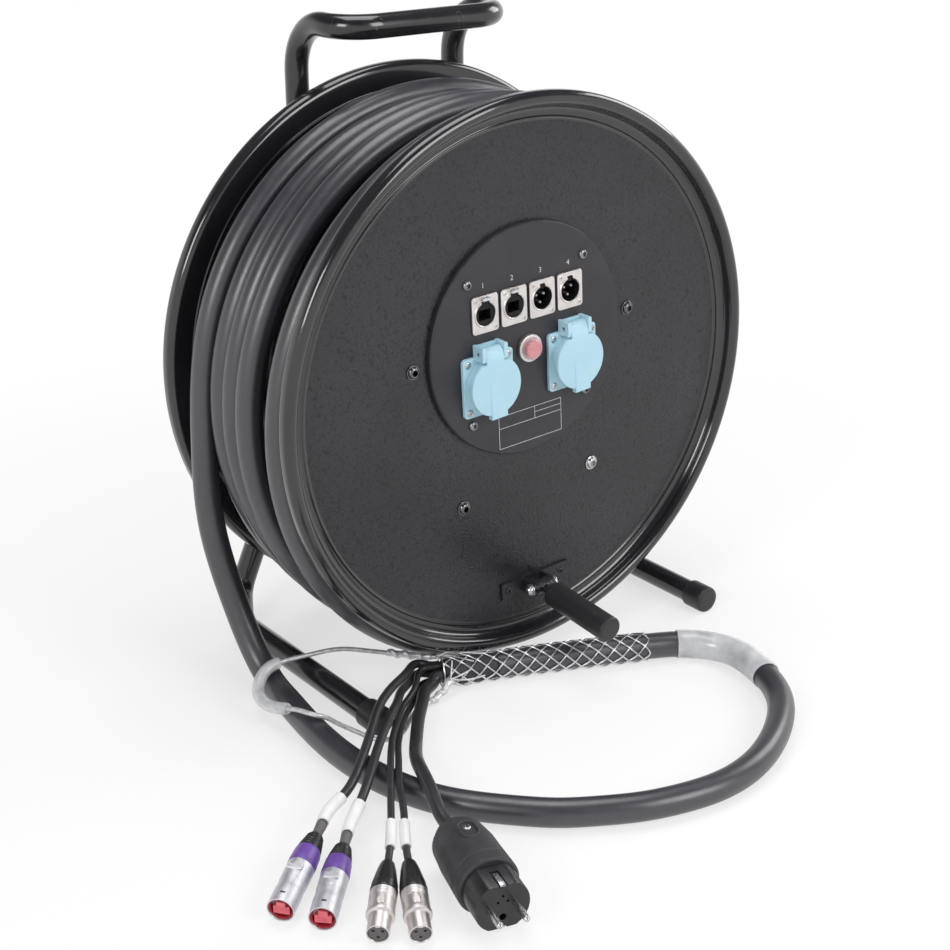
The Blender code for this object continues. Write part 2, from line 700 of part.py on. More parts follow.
def build_stand(stand, paint, rubber):
    """One bent tube from foot to foot, up over the handle, and a cap on each open end."""
    left = [
        (-FOOT_SPREAD, FOOT_FRONT, CAP_RADIUS), (-FOOT_SPREAD, FOOT_REAR, TUBE_RADIUS),
        (-LEG_FOOT_SPREAD, STAND_DEPTH, LEG_FOOT_HEIGHT), (-LEG_SPREAD, STAND_DEPTH, LEG_BEND_HEIGHT),
        (-LEG_SPREAD, STAND_DEPTH, HANDLE_HEIGHT), (-LEG_SPREAD, HANDLE_DEPTH, HANDLE_HEIGHT),
    ]
    corners = left + [(-x, y, z) for x, y, z in reversed(left)]
    bends = [FOOT_BEND * 0.6, FOOT_BEND * 0.6, LEG_BEND, SHOULDER_BEND, HANDLE_BEND]
    path = bent_path(corners, bends + bends[::-1])
    tube("stand_frame", path, TUBE_RADIUS, paint, stand, sides=10)

    tilt = math.atan2(CAP_RADIUS - TUBE_RADIUS, FOOT_REAR - FOOT_FRONT)
    bore = TUBE_RADIUS + CAP_FIT
    section = [
        (0.3 * CAP_RADIUS, -CAP_WALL), (CAP_RADIUS - 0.001, -CAP_WALL), (CAP_RADIUS, 0.001 - CAP_WALL),
        (CAP_RADIUS, CAP_LENGTH - CAP_WALL), (bore, CAP_LENGTH - CAP_WALL), (bore, -GAP), (0.3 * CAP_RADIUS, -GAP),
    ]
    for name, side in (("foot_cap_left", -1), ("foot_cap_right", 1)):
        mesh = turned(name, section, sides=12)
        piece(name, mesh, rubber, stand, (side * FOOT_SPREAD, FOOT_FRONT, CAP_RADIUS), (-tilt, 0, 0))


def build_panel(drum, paint):
    """The round panel in the front flange, with a hole for each socket and the breaker."""
    back = -PANEL_BACK
    face = -PANEL_FACE
    edge = PANEL_RADIUS - PANEL_BEVEL
    section = [(PANEL_RADIUS, back), (PANEL_RADIUS, face + PANEL_BEVEL), (edge, face)]
    mesh = turned("connector_panel", section, sides=FLANGE_SIDES)
    panel = piece("connector_panel", mesh, paint, drum, (0, 0, PANEL_RISE))
    places = [(x, SIGNAL_RISE, SIGNAL_BODY_RADIUS, SMALL_SIDES) for x in signal_places()]
    places += [(side * POWER_SPREAD, POWER_RISE, POWER_BODY_RADIUS, ROUND_SIDES) for side in (-1, 1)]
    places += [(0, BREAKER_RISE, BREAKER_BODY_RADIUS, SMALL_SIDES)]
    for x, z, radius, sides in places:
        through = [(radius + GAP, face - PANEL_THICKNESS), (radius + GAP, back + PANEL_THICKNESS)]
        hole = turned("socket_hole", through, sides=sides)
        combine(panel, "DIFFERENCE", [cutter(hole, drum, (x, 0, z))])


def signal_places():
    return [SIGNAL_PITCH * (index - 1.5) for index in range(4)]


def build_signal_sockets(drum, nickel, plastic):
    """Sockets 1 and 2 take data plugs and 3 and 4 are for audio, all on the same plate."""
    back = -PANEL_FACE - GAP
    face = back - SIGNAL_PLATE
    plate = rounded_rectangle(SIGNAL_WIDTH, SIGNAL_HEIGHT, SIGNAL_CORNER, SMALL_SIDES)
    body = circle(SIGNAL_BODY_RADIUS, SMALL_SIDES)
    mouth = circle(SIGNAL_MOUTH_RADIUS, SMALL_SIDES)
    end = back + SIGNAL_BODY_DEPTH
    floor = face + SIGNAL_MOUTH_DEPTH
    for number, x in enumerate(signal_places(), 1):
        data = number < 3
        name = f"{'rj45' if data else 'xlr'}_socket_{number}"
        rings = [
            ring(body, end), ring(body, back), ring(plate, back), ring(plate, face + 0.0004),
            ring(plate * 0.98, face), ring(mouth, face), ring(mouth, floor),
        ]
        place = (x, 0, SIGNAL_RISE)
        piece(name, skin(name, rings), nickel, drum, place)
        if data:
            build_data_insert(number, drum, plastic, place, face, floor)
        else:
            build_audio_insert(number, drum, plastic, place, floor)


def build_data_insert(number, drum, plastic, place, face, floor):
    """The black insert with its rectangular jack, and the latch tab above it on the plate."""
    radius = SIGNAL_MOUTH_RADIUS - GAP
    front = face + 0.001
    jack = rounded_rectangle(JACK_WIDTH, JACK_HEIGHT, 0.0006, SMALL_SIDES)
    rings = [
        ring(circle(radius, SMALL_SIDES), floor - GAP), ring(circle(radius, SMALL_SIDES), front),
        ring(jack, front), ring(jack, front + JACK_DEPTH),
    ]
    name = f"rj45_insert_{number}"
    piece(name, skin(name, rings), plastic, drum, place)
    name = f"rj45_latch_{number}"
    tab = rounded_rectangle(LATCH_WIDTH, LATCH_HEIGHT, 0.0008, SMALL_SIDES)
    seat = face - GAP
    rings = [ring(tab, seat), ring(tab, seat - 0.7 * LATCH_THICKNESS), ring(tab * 0.75, seat - LATCH_THICKNESS)]
    mesh = skin(name, rings)
    piece(name, mesh, plastic, drum, (place[0], 0, place[2] + LATCH_RISE))


def build_audio_insert(number, drum, plastic, place, floor):
    """A disc at the bottom of the shell with three pins."""
    name = f"xlr_insert_{number}"
    back = floor - GAP
    front = back - 0.003
    disc = turned(name, [(SIGNAL_MOUTH_RADIUS - GAP, back), (SIGNAL_MOUTH_RADIUS - GAP, front)], sides=SMALL_SIDES)
    insert = piece(name, disc, plastic, drum, place)
    pins = []
    for angle in (30, 150, 270):
        x = place[0] + PIN_CIRCLE * math.cos(math.radians(angle))
        z = place[2] + PIN_CIRCLE * math.sin(math.radians(angle))
        section = [(PIN_RADIUS, front + 0.001), (PIN_RADIUS, front - PIN_LENGTH + 0.001),
                   (PIN_RADIUS * 0.5, front - PIN_LENGTH)]
        pins.append(cutter(turned("pin", section, sides=6), drum, (x, 0, z)))
    combine(insert, "UNION", pins)


def build_breaker(drum, plastic, red, clear):
    """A bezel through the panel, the reset button in its bore and the clear boot over the button."""
    place = (0, 0, BREAKER_RISE)
    back = -PANEL_FACE - GAP
    face = back - BREAKER_RING
    floor = back + BREAKER_BODY_DEPTH - 0.003
    section = [
        (BREAKER_BODY_RADIUS, back + BREAKER_BODY_DEPTH), (BREAKER_BODY_RADIUS, back), (BREAKER_RADIUS, back),
        (BREAKER_RADIUS, face + 0.0008), (BREAKER_RADIUS - 0.0008, face), (BREAKER_BORE, face), (BREAKER_BORE, floor),
    ]
    piece("breaker_bezel", turned("breaker_bezel", section, sides=SMALL_SIDES), plastic, drum, place)
    tip = face - BUTTON_STAND_OUT
    section = [
        (BUTTON_RADIUS, tip + BUTTON_LENGTH), (BUTTON_RADIUS, tip + 0.0008), (BUTTON_RADIUS - 0.0008, tip),
    ]
    piece("breaker_button", turned("breaker_button", section, sides=SMALL_SIDES), red, drum, place)
    foot = face - GAP
    top = foot - BOOT_HEIGHT
    inner = BOOT_RADIUS - BOOT_WALL
    section = [
        (0.001, top), (BOOT_RADIUS - 0.0026, top), (BOOT_RADIUS - 0.0006, top + 0.0015), (BOOT_RADIUS, foot),
        (inner, foot), (inner - 0.0006, top + 0.0018), (inner - 0.0022, top + BOOT_WALL), (0.001, top + BOOT_WALL),
    ]
    piece("breaker_boot", turned("breaker_boot", section, sides=SMALL_SIDES), clear, drum, place)


def build_power_sockets(drum, blue, steel):
    for name, side in (("left", -1), ("right", 1)):
        place = (side * POWER_SPREAD, 0, POWER_RISE)
        build_power_socket(name, drum, blue, place)
        build_lid(name, drum, blue, steel, place)


def build_power_socket(name, drum, blue, place):
    """The square flange with its body and well, and the two ears of the lid's hinge on its top edge."""
    back = -PANEL_FACE - GAP
    front = back - POWER_FLANGE
    rim = front - POWER_RING_HEIGHT
    well = rim + POWER_WELL_DEPTH
    square = rounded_rectangle(POWER_SIZE, POWER_SIZE, POWER_CORNER)
    rings = [
        ring(circle(POWER_BODY_RADIUS), back + POWER_BODY_DEPTH), ring(circle(POWER_BODY_RADIUS), back),
        ring(square, back), ring(square, front + 0.0006), ring(square * 0.98, front),
        ring(circle(POWER_RING_RADIUS), front), ring(circle(POWER_RING_RADIUS), rim),
        ring(circle(POWER_WELL_RADIUS), rim), ring(circle(POWER_WELL_RADIUS), well),
    ]
    node = f"power_socket_{name}"
    socket = piece(node, skin(node, rings), blue, drum, place)
    hinge_front = -PANEL_FACE - HINGE_FRONT
    corner = (hinge_front + HINGE_CORNER, HINGE_HIGH - HINGE_CORNER)
    low_corner = (hinge_front + HINGE_CORNER, HINGE_LOW + HINGE_CORNER)
    ear = [(back, HINGE_LOW), *arc(low_corner, HINGE_CORNER, 270, 180, 2),
           *arc(corner, HINGE_CORNER, 180, 90, 2), (back, HINGE_HIGH)]
    parts = []
    for low in (-HINGE_HALF, HINGE_HALF - HINGE_EAR):
        parts.append(cutter(prism("hinge_ear", ear, low, low + HINGE_EAR, "X"), drum, place))
    wall = block("hinge_wall", (-HINGE_HALF + 0.001, back - 0.0001, HINGE_LOW + 0.001),
                 (HINGE_HALF - 0.001, back - HINGE_WALL, HINGE_HIGH - 0.0005))
    parts.append(cutter(wall, drum, place))
    combine(socket, "UNION", parts)
    bore = HINGE_PIN_RADIUS + RUNNING
    through = turned("pin_hole", [(bore, -0.02), (bore, 0.02)], "X", 12)
    holes = [cutter(through, drum, (place[0], -PANEL_FACE - HINGE_OUT, place[2] + HINGE_RISE))]
    for side in (-1, 1):
        section = [(POWER_HOLE_RADIUS, well - 0.001), (POWER_HOLE_RADIUS, well + POWER_HOLE_DEPTH)]
        holes.append(cutter(turned("contact_hole", section, sides=12), drum, (place[0] + side * POWER_HOLE_SPREAD, 0, place[2])))
    combine(socket, "DIFFERENCE", holes)


def build_lid(name, drum, blue, steel, place):
    """The round lid with its tab below and its neck between the hinge's ears, turned about the pin."""
    rim = -PANEL_FACE - GAP - POWER_FLANGE - POWER_RING_HEIGHT
    inner = rim - LID_GAP
    outer = inner - LID_THICKNESS
    pin_y = -PANEL_FACE - HINGE_OUT
    pin = (place[0], pin_y, place[2] + HINGE_RISE)
    pivot = empty(f"lid_{name}_axis", drum, pin)
    disc = circle(LID_RADIUS, 36)
    disc[:, 1] = np.minimum(disc[:, 1], LID_TOP)
    disc -= [0, HINGE_RISE]
    rings = [
        ring(disc, inner - pin_y), ring(disc, outer - pin_y + 0.0008),
        ring((disc + [0, HINGE_RISE]) * 0.97 - [0, HINGE_RISE], outer - pin_y),
    ]
    node = f"power_lid_{name}"
    lid = piece(node, skin(node, rings), blue, pivot)
    half = HINGE_HALF - HINGE_EAR - RUNNING
    dip = math.degrees(math.acos((inner - pin_y) / HINGE_NECK_RADIUS))
    neck = [
        (inner - pin_y, LID_TOP - HINGE_RISE - 0.004), *arc((0, 0), HINGE_NECK_RADIUS, -dip, 180, 10),
        (outer - pin_y, -0.003), (outer - pin_y, LID_TOP - HINGE_RISE - 0.004),
    ]
    tab_middle = LID_TAB_OFFSET
    parts = [
        cutter(prism("lid_neck", neck, -half, half, "X"), pivot),
        cutter(block("lid_tab", (tab_middle - LID_TAB_WIDTH / 2, inner - pin_y, -HINGE_RISE - LID_TAB_DROP),
                     (tab_middle + LID_TAB_WIDTH / 2, outer - pin_y - 0.0002, -HINGE_RISE - 0.018)), pivot),
    ]
    combine(lid, "UNION", parts)
    bore = HINGE_PIN_RADIUS + RUNNING
    through = turned("neck_hole", [(bore, -0.02), (bore, 0.02)], "X", 12)
    combine(lid, "DIFFERENCE", [cutter(through, pivot)])
    end = HINGE_HALF - GAP
    mesh = turned("lid_pin", [(HINGE_PIN_RADIUS, -end), (HINGE_PIN_RADIUS, end)], "X", 12)
    piece(f"lid_pin_{name}", mesh, steel, drum, pin)


def build_crank(drum, paint, steel, plastic):
    """Bracket, pin, rod with its eye, and the grip that turns on the rod."""
    seat = -FLANGE_FACE - GAP
    pin_y = -FLANGE_FACE - CRANK_OUT
    pivot = empty("crank_axis", drum, (0, pin_y, -CRANK_DROP), (CRANK_DROOP, 0, 0))
    pin_place = (0, pin_y, -CRANK_DROP)
    ear_outer = CRANK_EAR_INNER + CRANK_EAR_THICKNESS

    base = block("crank_bracket", (-CRANK_BASE_LEFT, seat, -CRANK_BASE_HEIGHT / 2),
                 (CRANK_BASE_RIGHT, seat - CRANK_BASE_THICKNESS, CRANK_BASE_HEIGHT / 2))
    bracket = piece("crank_bracket", base, paint, drum, (0, 0, -CRANK_DROP))
    foot = seat - CRANK_BASE_THICKNESS + 0.0003
    ear = [(foot, CRANK_EAR_RADIUS), (foot, -CRANK_EAR_RADIUS), *arc((pin_y, 0), CRANK_EAR_RADIUS, 270, 90, 8)]
    ears = [
        cutter(prism("crank_ear", ear, low, low + CRANK_EAR_THICKNESS, "X"), drum, (0, 0, -CRANK_DROP))
        for low in (-ear_outer, CRANK_EAR_INNER)
    ]
    combine(bracket, "UNION", ears)
    bore = CRANK_PIN_RADIUS + GAP
    through = turned("crank_hole", [(bore, -0.02), (bore, 0.02)], "X", SMALL_SIDES)
    combine(bracket, "DIFFERENCE", [cutter(through, drum, pin_place)])

    outer = ear_outer + GAP
    section = [
        (0.001, -outer - CRANK_PIN_HEAD_HEIGHT - 0.0015), (CRANK_PIN_NUT * 0.7, -outer - CRANK_PIN_HEAD_HEIGHT),
        (CRANK_PIN_NUT, -outer - 0.4 * CRANK_PIN_HEAD_HEIGHT), (CRANK_PIN_NUT, -outer),
        (CRANK_PIN_RADIUS, -outer), (CRANK_PIN_RADIUS, outer), (CRANK_PIN_HEAD, outer),
        (CRANK_PIN_HEAD, outer + 0.7 * CRANK_PIN_HEAD_HEIGHT), (CRANK_PIN_HEAD * 0.8, outer + CRANK_PIN_HEAD_HEIGHT),
    ]
    piece("crank_pin", turned("crank_pin", section, "X", 12), steel, drum, pin_place)

    half = CRANK_EAR_INNER - GAP
    eye = turned("crank_arm", [(CRANK_EYE_RADIUS, -half), (CRANK_EYE_RADIUS, half)], "X", 20)
    arm = piece("crank_arm", eye, steel, pivot)
    rod_end = -CRANK_REACH
    section = [
        (CRANK_ROD_RADIUS, -CRANK_PIN_RADIUS - 0.001), (CRANK_ROD_RADIUS, rod_end + CRANK_ROD_HEAD_HEIGHT),
        (CRANK_ROD_HEAD, rod_end + CRANK_ROD_HEAD_HEIGHT), (CRANK_ROD_HEAD, rod_end),
    ]
    combine(arm, "UNION", [cutter(turned("crank_rod", section, sides=SMALL_SIDES), pivot)])
    combine(arm, "DIFFERENCE", [cutter(turned("eye_hole", [(bore, -0.02), (bore, 0.02)], "X", SMALL_SIDES), pivot)])

    start = -GRIP_START
    end = start - GRIP_LENGTH
    cavity = rod_end - GAP
    neck = rod_end + CRANK_ROD_HEAD_HEIGHT + GAP
    rod_bore = CRANK_ROD_RADIUS + GAP
    section = [
        (0.002, end), (GRIP_RADIUS * 0.55, end + 0.0006), (GRIP_RADIUS * 0.88, end + 0.0028),
        (GRIP_RADIUS, end + 0.0065), (GRIP_RADIUS, start - 0.003), (GRIP_RADIUS * 0.85, start),
        (rod_bore, start), (rod_bore, neck), (GRIP_CAVITY, neck), (GRIP_CAVITY, cavity), (0.002, cavity),
    ]
    piece("crank_grip", turned("crank_grip", section, sides=SMALL_SIDES), plastic, pivot)


def lane_point(turn, radius, depth, sag):
    return (radius * math.cos(turn), depth, radius * math.sin(turn) - sag)


def eased(value):
    value = min(max(value, 0.0), 1.0)
    return value * value * (3 - 2 * value)


def winding_points():
    """The outer layer: a turn in each lane, moving to the next lane at the lower right. The last dives under."""
    points = []
    step = 2 * math.pi / TURN_POINTS
    tail_radius = GROOVE_RADIUS + CABLE_RADIUS + PACK_CLEARANCE
    for count in range(TURN_POINTS * len(LANES) - 2):
        lane, within = divmod(count, TURN_POINTS)
        turn = WINDING_START + within * step
        depth, radius = LANES[lane]
        if lane + 1 < len(LANES):
            share = eased((turn - LANE_CHANGE_START) / (WINDING_START + 2 * math.pi - LANE_CHANGE_START))
            depth += share * (LANES[lane + 1][0] - depth)
            radius += share * (LANES[lane + 1][1] - radius)
        else:
            radius += eased((turn - TAIL_DIVE_START) / TAIL_DIVE_SPAN) * (tail_radius - radius)
        points.append(lane_point(turn, radius, depth, LANE_SAG))
    return np.array(points)


def standing_points():
    """The last turn, which doesn't move with the drum: from behind the drum's underside over its top."""
    points = []
    step = 2 * math.pi / TURN_POINTS
    turns = np.arange(STANDING_START_ANGLE, math.radians(172), step)
    for turn in turns:
        share = eased((turn - STANDING_START_ANGLE) / (STANDING_SETTLED_ANGLE - STANDING_START_ANGLE))
        depth = STANDING_START[0] + share * (STANDING_LANE[0] - STANDING_START[0])
        radius = STANDING_START[1] + share * (STANDING_LANE[1] - STANDING_START[1])
        x, y, z = lane_point(turn, radius, depth, share * STANDING_SAG)
        points.append((x, y, z + AXLE_HEIGHT))
    return points


def build_windings(drum, jacket):
    """The wound layer over a plain core that stands for the layers below it."""
    points = winding_points()
    tube("cable_winding", points, CABLE_RADIUS, jacket, drum, sides=6)
    print(f"least gap of the winding to itself: {1000 * self_gap(points, CABLE_RADIUS):.2f} mm")

    end = INNER_FACE - GAP
    inside = BARREL_RADIUS + GAP
    outside = min(radius for _, radius in LANES) - CABLE_RADIUS - PACK_CLEARANCE
    section = [
        (inside, -end, 0), (outside - 0.003, -end, LANE_SAG), (outside, 0.003 - end, LANE_SAG),
        (outside, GROOVE_EDGE, LANE_SAG), (GROOVE_RADIUS, GROOVE_EDGE, 0), (GROOVE_RADIUS, end, 0), (inside, end, 0),
    ]
    rings = [ring(circle(radius, BARREL_SIDES) - [0, sag], height) for radius, height, sag in section]
    piece("cable_pack", skin("cable_pack", rings, looped=True), jacket, drum)


def self_gap(points, radius):
    """The least gap between the surfaces of stretches of a tube that aren't next to each other."""
    least = math.inf
    apart = TURN_POINTS // 2
    dense = np.concatenate([np.linspace(a, b, 6, endpoint=False) for a, b in zip(points, points[1:])])
    for index in range(len(dense)):
        others = dense[index + 6 * apart:]
        if len(others):
            least = min(least, np.linalg.norm(others - dense[index], axis=1).min())
    return least - 2 * radius


def build_free_cable(stand, materials):
    """The cable off the drum, with the boot that splits it, the pulling grip and the clear sleeve."""
    own = np.array(standing_points()).tolist() + (MM * np.array(FREE_ROUTE)).tolist()
    route = smooth_route(own, FREE_SPACING)
    tube("cable_free", route, CABLE_RADIUS, materials["jacket"], stand)

    heading = unit(route[-1] - route[-2])
    boot = np.array([route[-1] + heading * far for far in (GAP, 0.3 * SPLITTER_LENGTH, SPLITTER_LENGTH)])
    radii = [CABLE_RADIUS, SPLITTER_RADIUS, SPLITTER_RADIUS]
    piece("splitter_boot", skin("splitter_boot", rings_along(boot, radii, 20)), materials["black_rubber"], stand)

    bore = CABLE_RADIUS + SLEEVE_CLEARANCE
    path = stretch(route, MESH_LENGTH, 0.004)
    path = np.array([*path, *boot[1:]])
    bores = [bore] * (len(path) - 2) + [SPLITTER_RADIUS + SLEEVE_CLEARANCE] * 2
    mesh = sleeve("pulling_grip", path, bores, GRIP_SLEEVE_WALL)
    piece("pulling_grip", mesh, materials["wire"], stand)

    path = stretch(route, CLEAR_SLEEVE_START, CLEAR_SLEEVE_START - CLEAR_SLEEVE_LENGTH)
    mesh = sleeve("clear_sleeve", path, [bore] * len(path), CLEAR_SLEEVE_WALL)
    piece("clear_sleeve", mesh, materials["clear_plastic"], stand)
    return boot[-1], heading


def build_tails(stand, materials, boot_end, heading):
    """Five tails from the boot's face, each to its own connector."""
    sideways = np.array([-heading[1], heading[0], 0.0])
    upward = np.array([0.0, 0.0, 1.0])
    makers = {"cat": build_cat_connector, "audio": build_audio_connector, "power": build_power_plug}
    for name, kind, (across, up), own_points, front, direction in TAILS:
        radius, length = TAIL_SIZES[kind]
        back = unit(direction)
        front = MM * np.array(front)
        start = boot_end + MM * (across * sideways + up * upward) + heading * GAP
        end = front + back * (length + GAP)
        own = [start, start + heading * TAIL_LEAD, *(MM * np.array(own_points)), end + back * 2 * TAIL_LEAD, end]
        route = smooth_route(own, TAIL_SPACING)
        route = np.array([start, own[1], *route[1:-1], end + back * TAIL_LEAD, end])
        tube(name, route, radius, materials["black_rubber"], stand)
        turn = Vector(back).to_track_quat("Y", "Z").to_euler()
        makers[kind](name.replace("tail", "connector"), stand, materials, tuple(front), turn)


def build_cat_connector(name, stand, materials, place, turn):
    """A data connector: round metal shell, coloured ring and ribbed boot."""
    r = CAT_CONNECTOR_RADIUS
    section = [
        (0.0045, CAT_CONNECTOR_LENGTH), (0.0045, 0.073), (0.0070, 0.070), (0.0085, 0.057), (r, 0.056),
        (r, 0.040), (r * 0.97, 0.039), (r * 0.97, 0.018), (r, 0.0175), (r, 0.0), (r * 0.85, 0.0), (r * 0.85, 0.003),
    ]
    piece(name, turned(name, section, sides=12), materials["nickel"], stand, place, turn)


def build_audio_connector(name, stand, materials, place, turn):
    """An audio connector: boot, metal shell and a narrower nose."""
    r = AUDIO_CONNECTOR_RADIUS
    section = [
        (0.0040, AUDIO_CONNECTOR_LENGTH), (0.0050, 0.064), (0.0088, 0.046), (r, 0.0445), (r, 0.040), (r, 0.016),
        (0.0078, 0.0155), (0.0078, 0.0), (0.0068, 0.0), (0.0068, 0.0015),
    ]
    piece(name, turned(name, section, sides=12), materials["nickel"], stand, place, turn)


def build_power_plug(name, stand, materials, place, turn):
    """A two-pin earthed plug with a rubber body."""
    r = PLUG_RADIUS
    section = [
        (0.0080, PLUG_LENGTH), (0.0125, 0.078), (0.0190, 0.066), (r, 0.050), (r, 0.024), (r * 0.93, 0.022),
        (r * 0.93, 0.0), (r * 0.6, 0.0),
    ]
    rings = []
    for radius, height in section:
        outline = circle(radius, SMALL_SIDES)
        narrow = min(1.0, 0.0185 / radius) if height < 0.023 else 1.0
        rings.append(ring(outline * [1.0, narrow], height))
    plug = piece(name, skin(name, rings), materials["black_rubber"], stand, place, turn)
    pins = []
    for side in (-1, 1):
        section = [(PLUG_PIN_RADIUS, 0.002), (PLUG_PIN_RADIUS, -PLUG_PIN_LENGTH + 0.001),
                   (PLUG_PIN_RADIUS * 0.6, -PLUG_PIN_LENGTH)]
        pin = cutter(turned("plug_pin", section, sides=10), None)
        pin.parent = plug
        pin.location = (side * PLUG_PIN_SPREAD, 0, 0)
        pins.append(pin)
    combine(plug, "UNION", pins)


def build_rope(stand, materials):
    """The wire rope's eye from the grip's end, with a plastic tube where it would bear on a hook."""
    route = smooth_route(MM * np.array(ROPE_ROUTE), ROPE_SPACING)
    tube("wire_rope", route, ROPE_RADIUS, materials["wire"], stand)
    path = stretch(route, *THIMBLE_STRETCH)
    mesh = sleeve("thimble", path, [THIMBLE_BORE] * len(path), THIMBLE_RADIUS - THIMBLE_BORE, 8)
    piece("thimble", mesh, materials["clear_plastic"], stand)


def settle(reel, pieces):
    """Put the origin under the middle of the depth of the given pieces."""
    bpy.context.view_layer.update()
    graph = bpy.context.evaluated_depsgraph_get()
    depths = []
    for obj in pieces:
        evaluated = obj.evaluated_get(graph)
        mesh = evaluated.to_mesh()
        depths += [(evaluated.matrix_world @ vertex.co).y for vertex in mesh.vertices]
        evaluated.to_mesh_clear()
    reel.location.y = -(min(depths) + max(depths)) / 2


def main():
    clear_scene()
    materials = make_materials()
    paint, steel, plastic = (materials[key] for key in ("black_paint", "steel", "black_plastic"))
    reel = empty("reel")
    stand = empty("stand", reel)
    drum = empty("drum", reel, (0, 0, AXLE_HEIGHT), (0, -DRUM_TURN, 0))

    build_stand(stand, paint, materials["black_rubber"])
    build_axle(stand, drum, steel, paint, plastic)
    front_flange = build_flanges(drum, paint)
    barrel = build_barrel(drum, paint)
    build_bolts(drum, steel, front_flange, barrel)
    build_panel(drum, paint)
    build_signal_sockets(drum, materials["nickel"], plastic)
    build_breaker(drum, plastic, materials["red_plastic"], materials["clear_plastic"])
    build_power_sockets(drum, materials["blue_plastic"], steel)
    build_crank(drum, paint, steel, plastic)
    own_pieces = [obj for obj in bpy.data.objects if obj.type != "EMPTY" and not obj.hide_render]

    build_windings(drum, materials["jacket"])
    boot_end, heading = build_free_cable(stand, materials)
    build_tails(stand, materials, boot_end, heading)
    build_rope(stand, materials)
    settle(reel, own_pieces)


if __name__ == "__main__":
    main()
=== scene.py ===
"""Looks of the hybrid cable on its steel drum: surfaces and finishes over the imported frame.

Metres, +Z up, in the frame's own place. The drum turns about an axle along Y and its panel faces -Y.
"""

import json
import math

import bpy
import numpy as np
from bpy.props import FloatProperty, FloatVectorProperty, IntProperty, PointerProperty
from bpy.types import Operator, Panel, PropertyGroup
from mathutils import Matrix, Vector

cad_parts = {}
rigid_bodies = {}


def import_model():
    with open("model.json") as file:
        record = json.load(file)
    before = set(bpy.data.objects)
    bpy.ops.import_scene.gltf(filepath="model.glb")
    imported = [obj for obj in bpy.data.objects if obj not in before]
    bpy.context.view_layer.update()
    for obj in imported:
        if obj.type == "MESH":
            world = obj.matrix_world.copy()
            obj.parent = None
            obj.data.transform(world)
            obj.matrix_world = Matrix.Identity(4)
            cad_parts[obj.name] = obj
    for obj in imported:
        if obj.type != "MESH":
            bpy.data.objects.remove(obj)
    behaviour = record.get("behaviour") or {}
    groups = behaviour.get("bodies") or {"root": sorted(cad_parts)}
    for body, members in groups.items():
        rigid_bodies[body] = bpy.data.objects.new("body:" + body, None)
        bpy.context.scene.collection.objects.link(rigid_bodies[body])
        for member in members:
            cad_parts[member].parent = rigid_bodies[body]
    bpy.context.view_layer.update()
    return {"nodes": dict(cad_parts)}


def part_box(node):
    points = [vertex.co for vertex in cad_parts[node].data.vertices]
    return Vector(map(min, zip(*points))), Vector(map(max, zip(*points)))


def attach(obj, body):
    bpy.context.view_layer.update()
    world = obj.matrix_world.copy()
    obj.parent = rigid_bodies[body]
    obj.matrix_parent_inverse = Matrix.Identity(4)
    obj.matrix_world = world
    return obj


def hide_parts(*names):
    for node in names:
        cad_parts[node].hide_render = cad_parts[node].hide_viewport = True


bl_info = {
    "name": "Hybrid cable on a steel drum",
    "version": (1, 0, 0),
    "blender": (4, 5, 0),
    "location": "3D View > Sidebar > Cable drum",
    "description": "Builds the surfaces and finishes of a cable drum over its frame",
    "category": "Object",
}

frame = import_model()

MM = 0.001

# Where the drum stands: its depth follows the frame's axle plate, which stands a fixed way behind its middle
AXLE_HEIGHT = 0.248
STAND_DEPTH = 0.1215
TURN = math.radians(3)
PLATE_LOW, PLATE_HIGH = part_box("axle_plate")
REEL_Y = (PLATE_LOW.y + PLATE_HIGH.y) / 2 - STAND_DEPTH

# Drum
FLANGE_RADIUS = 0.235
FLANGE_FACE = 0.085
INNER_FACE = 0.0825
RIM_ROLL = 0.006
RIM_STAND_OUT = 0.0128
RIDGE_RADIUS = 0.2132
RIDGE_HALF = 0.0024
RIDGE_WIDTH = 0.0010
RIDGE_HEIGHT = 0.0010
RIM_START = RIDGE_RADIUS - RIDGE_HALF
PANEL_OPENING = 0.074
PANEL_RISE = 0.0365
PANEL_FACE = 0.0900
HUB_RADIUS = 0.025
HUB_BORE = 0.0213
HUB_END = -0.035
BOLT_CIRCLE = 0.116
BOLT_ANGLES = (18, 162, 234, 306)
PANEL_SCREW = 0.0587

# Sockets on the panel, from the axle's height
SIGNAL_PITCH = 0.0288
SIGNAL_RISE = 0.069
FIGURE_RISE, FIGURE_SIZE, FIGURE_DEPTH = 0.0917, 0.0062, 0.00008
POWER_SPREAD = 0.0435
POWER_RISE = 0.0113
BREAKER_RISE = 0.030

# The lids' hinge pin from the middle of its socket, in millimetres
HINGE_OUT, HINGE_RISE = 7.7, 28.2

# Crank
CRANK_DROP = 0.184
CRANK_OUT = 0.0135
CRANK_DROOP = math.radians(4)

# Winding: depth and radius of each turn of the outer layer, and of the layer under it
LANES = np.array([(-0.0712, 0.226), (-0.0470, 0.206), (-0.0235, 0.224), (0.0, 0.222), (0.0235, 0.219)])
UNDER_LANES = np.array([
    (-0.0712, 0.1815), (-0.0487, 0.1815), (-0.0262, 0.1815), (-0.0037, 0.1815),
    (0.0235, 0.1667), (0.0460, 0.1667), (0.0685, 0.1667),
])
LANE_SAG = 0.010
SAG_EASE_START, SAG_EASE_SPAN = -0.0037, 0.0272
LANE_CHANGE_START = math.radians(300)
WINDING_START = math.radians(20)
HEAD_DIVE_START, HEAD_DIVE_SPAN = math.radians(-20), math.radians(70)
TAIL_DIVE_START, TAIL_DIVE_SPAN = math.radians(260), math.radians(60)
TAIL_RADIUS = 0.1912

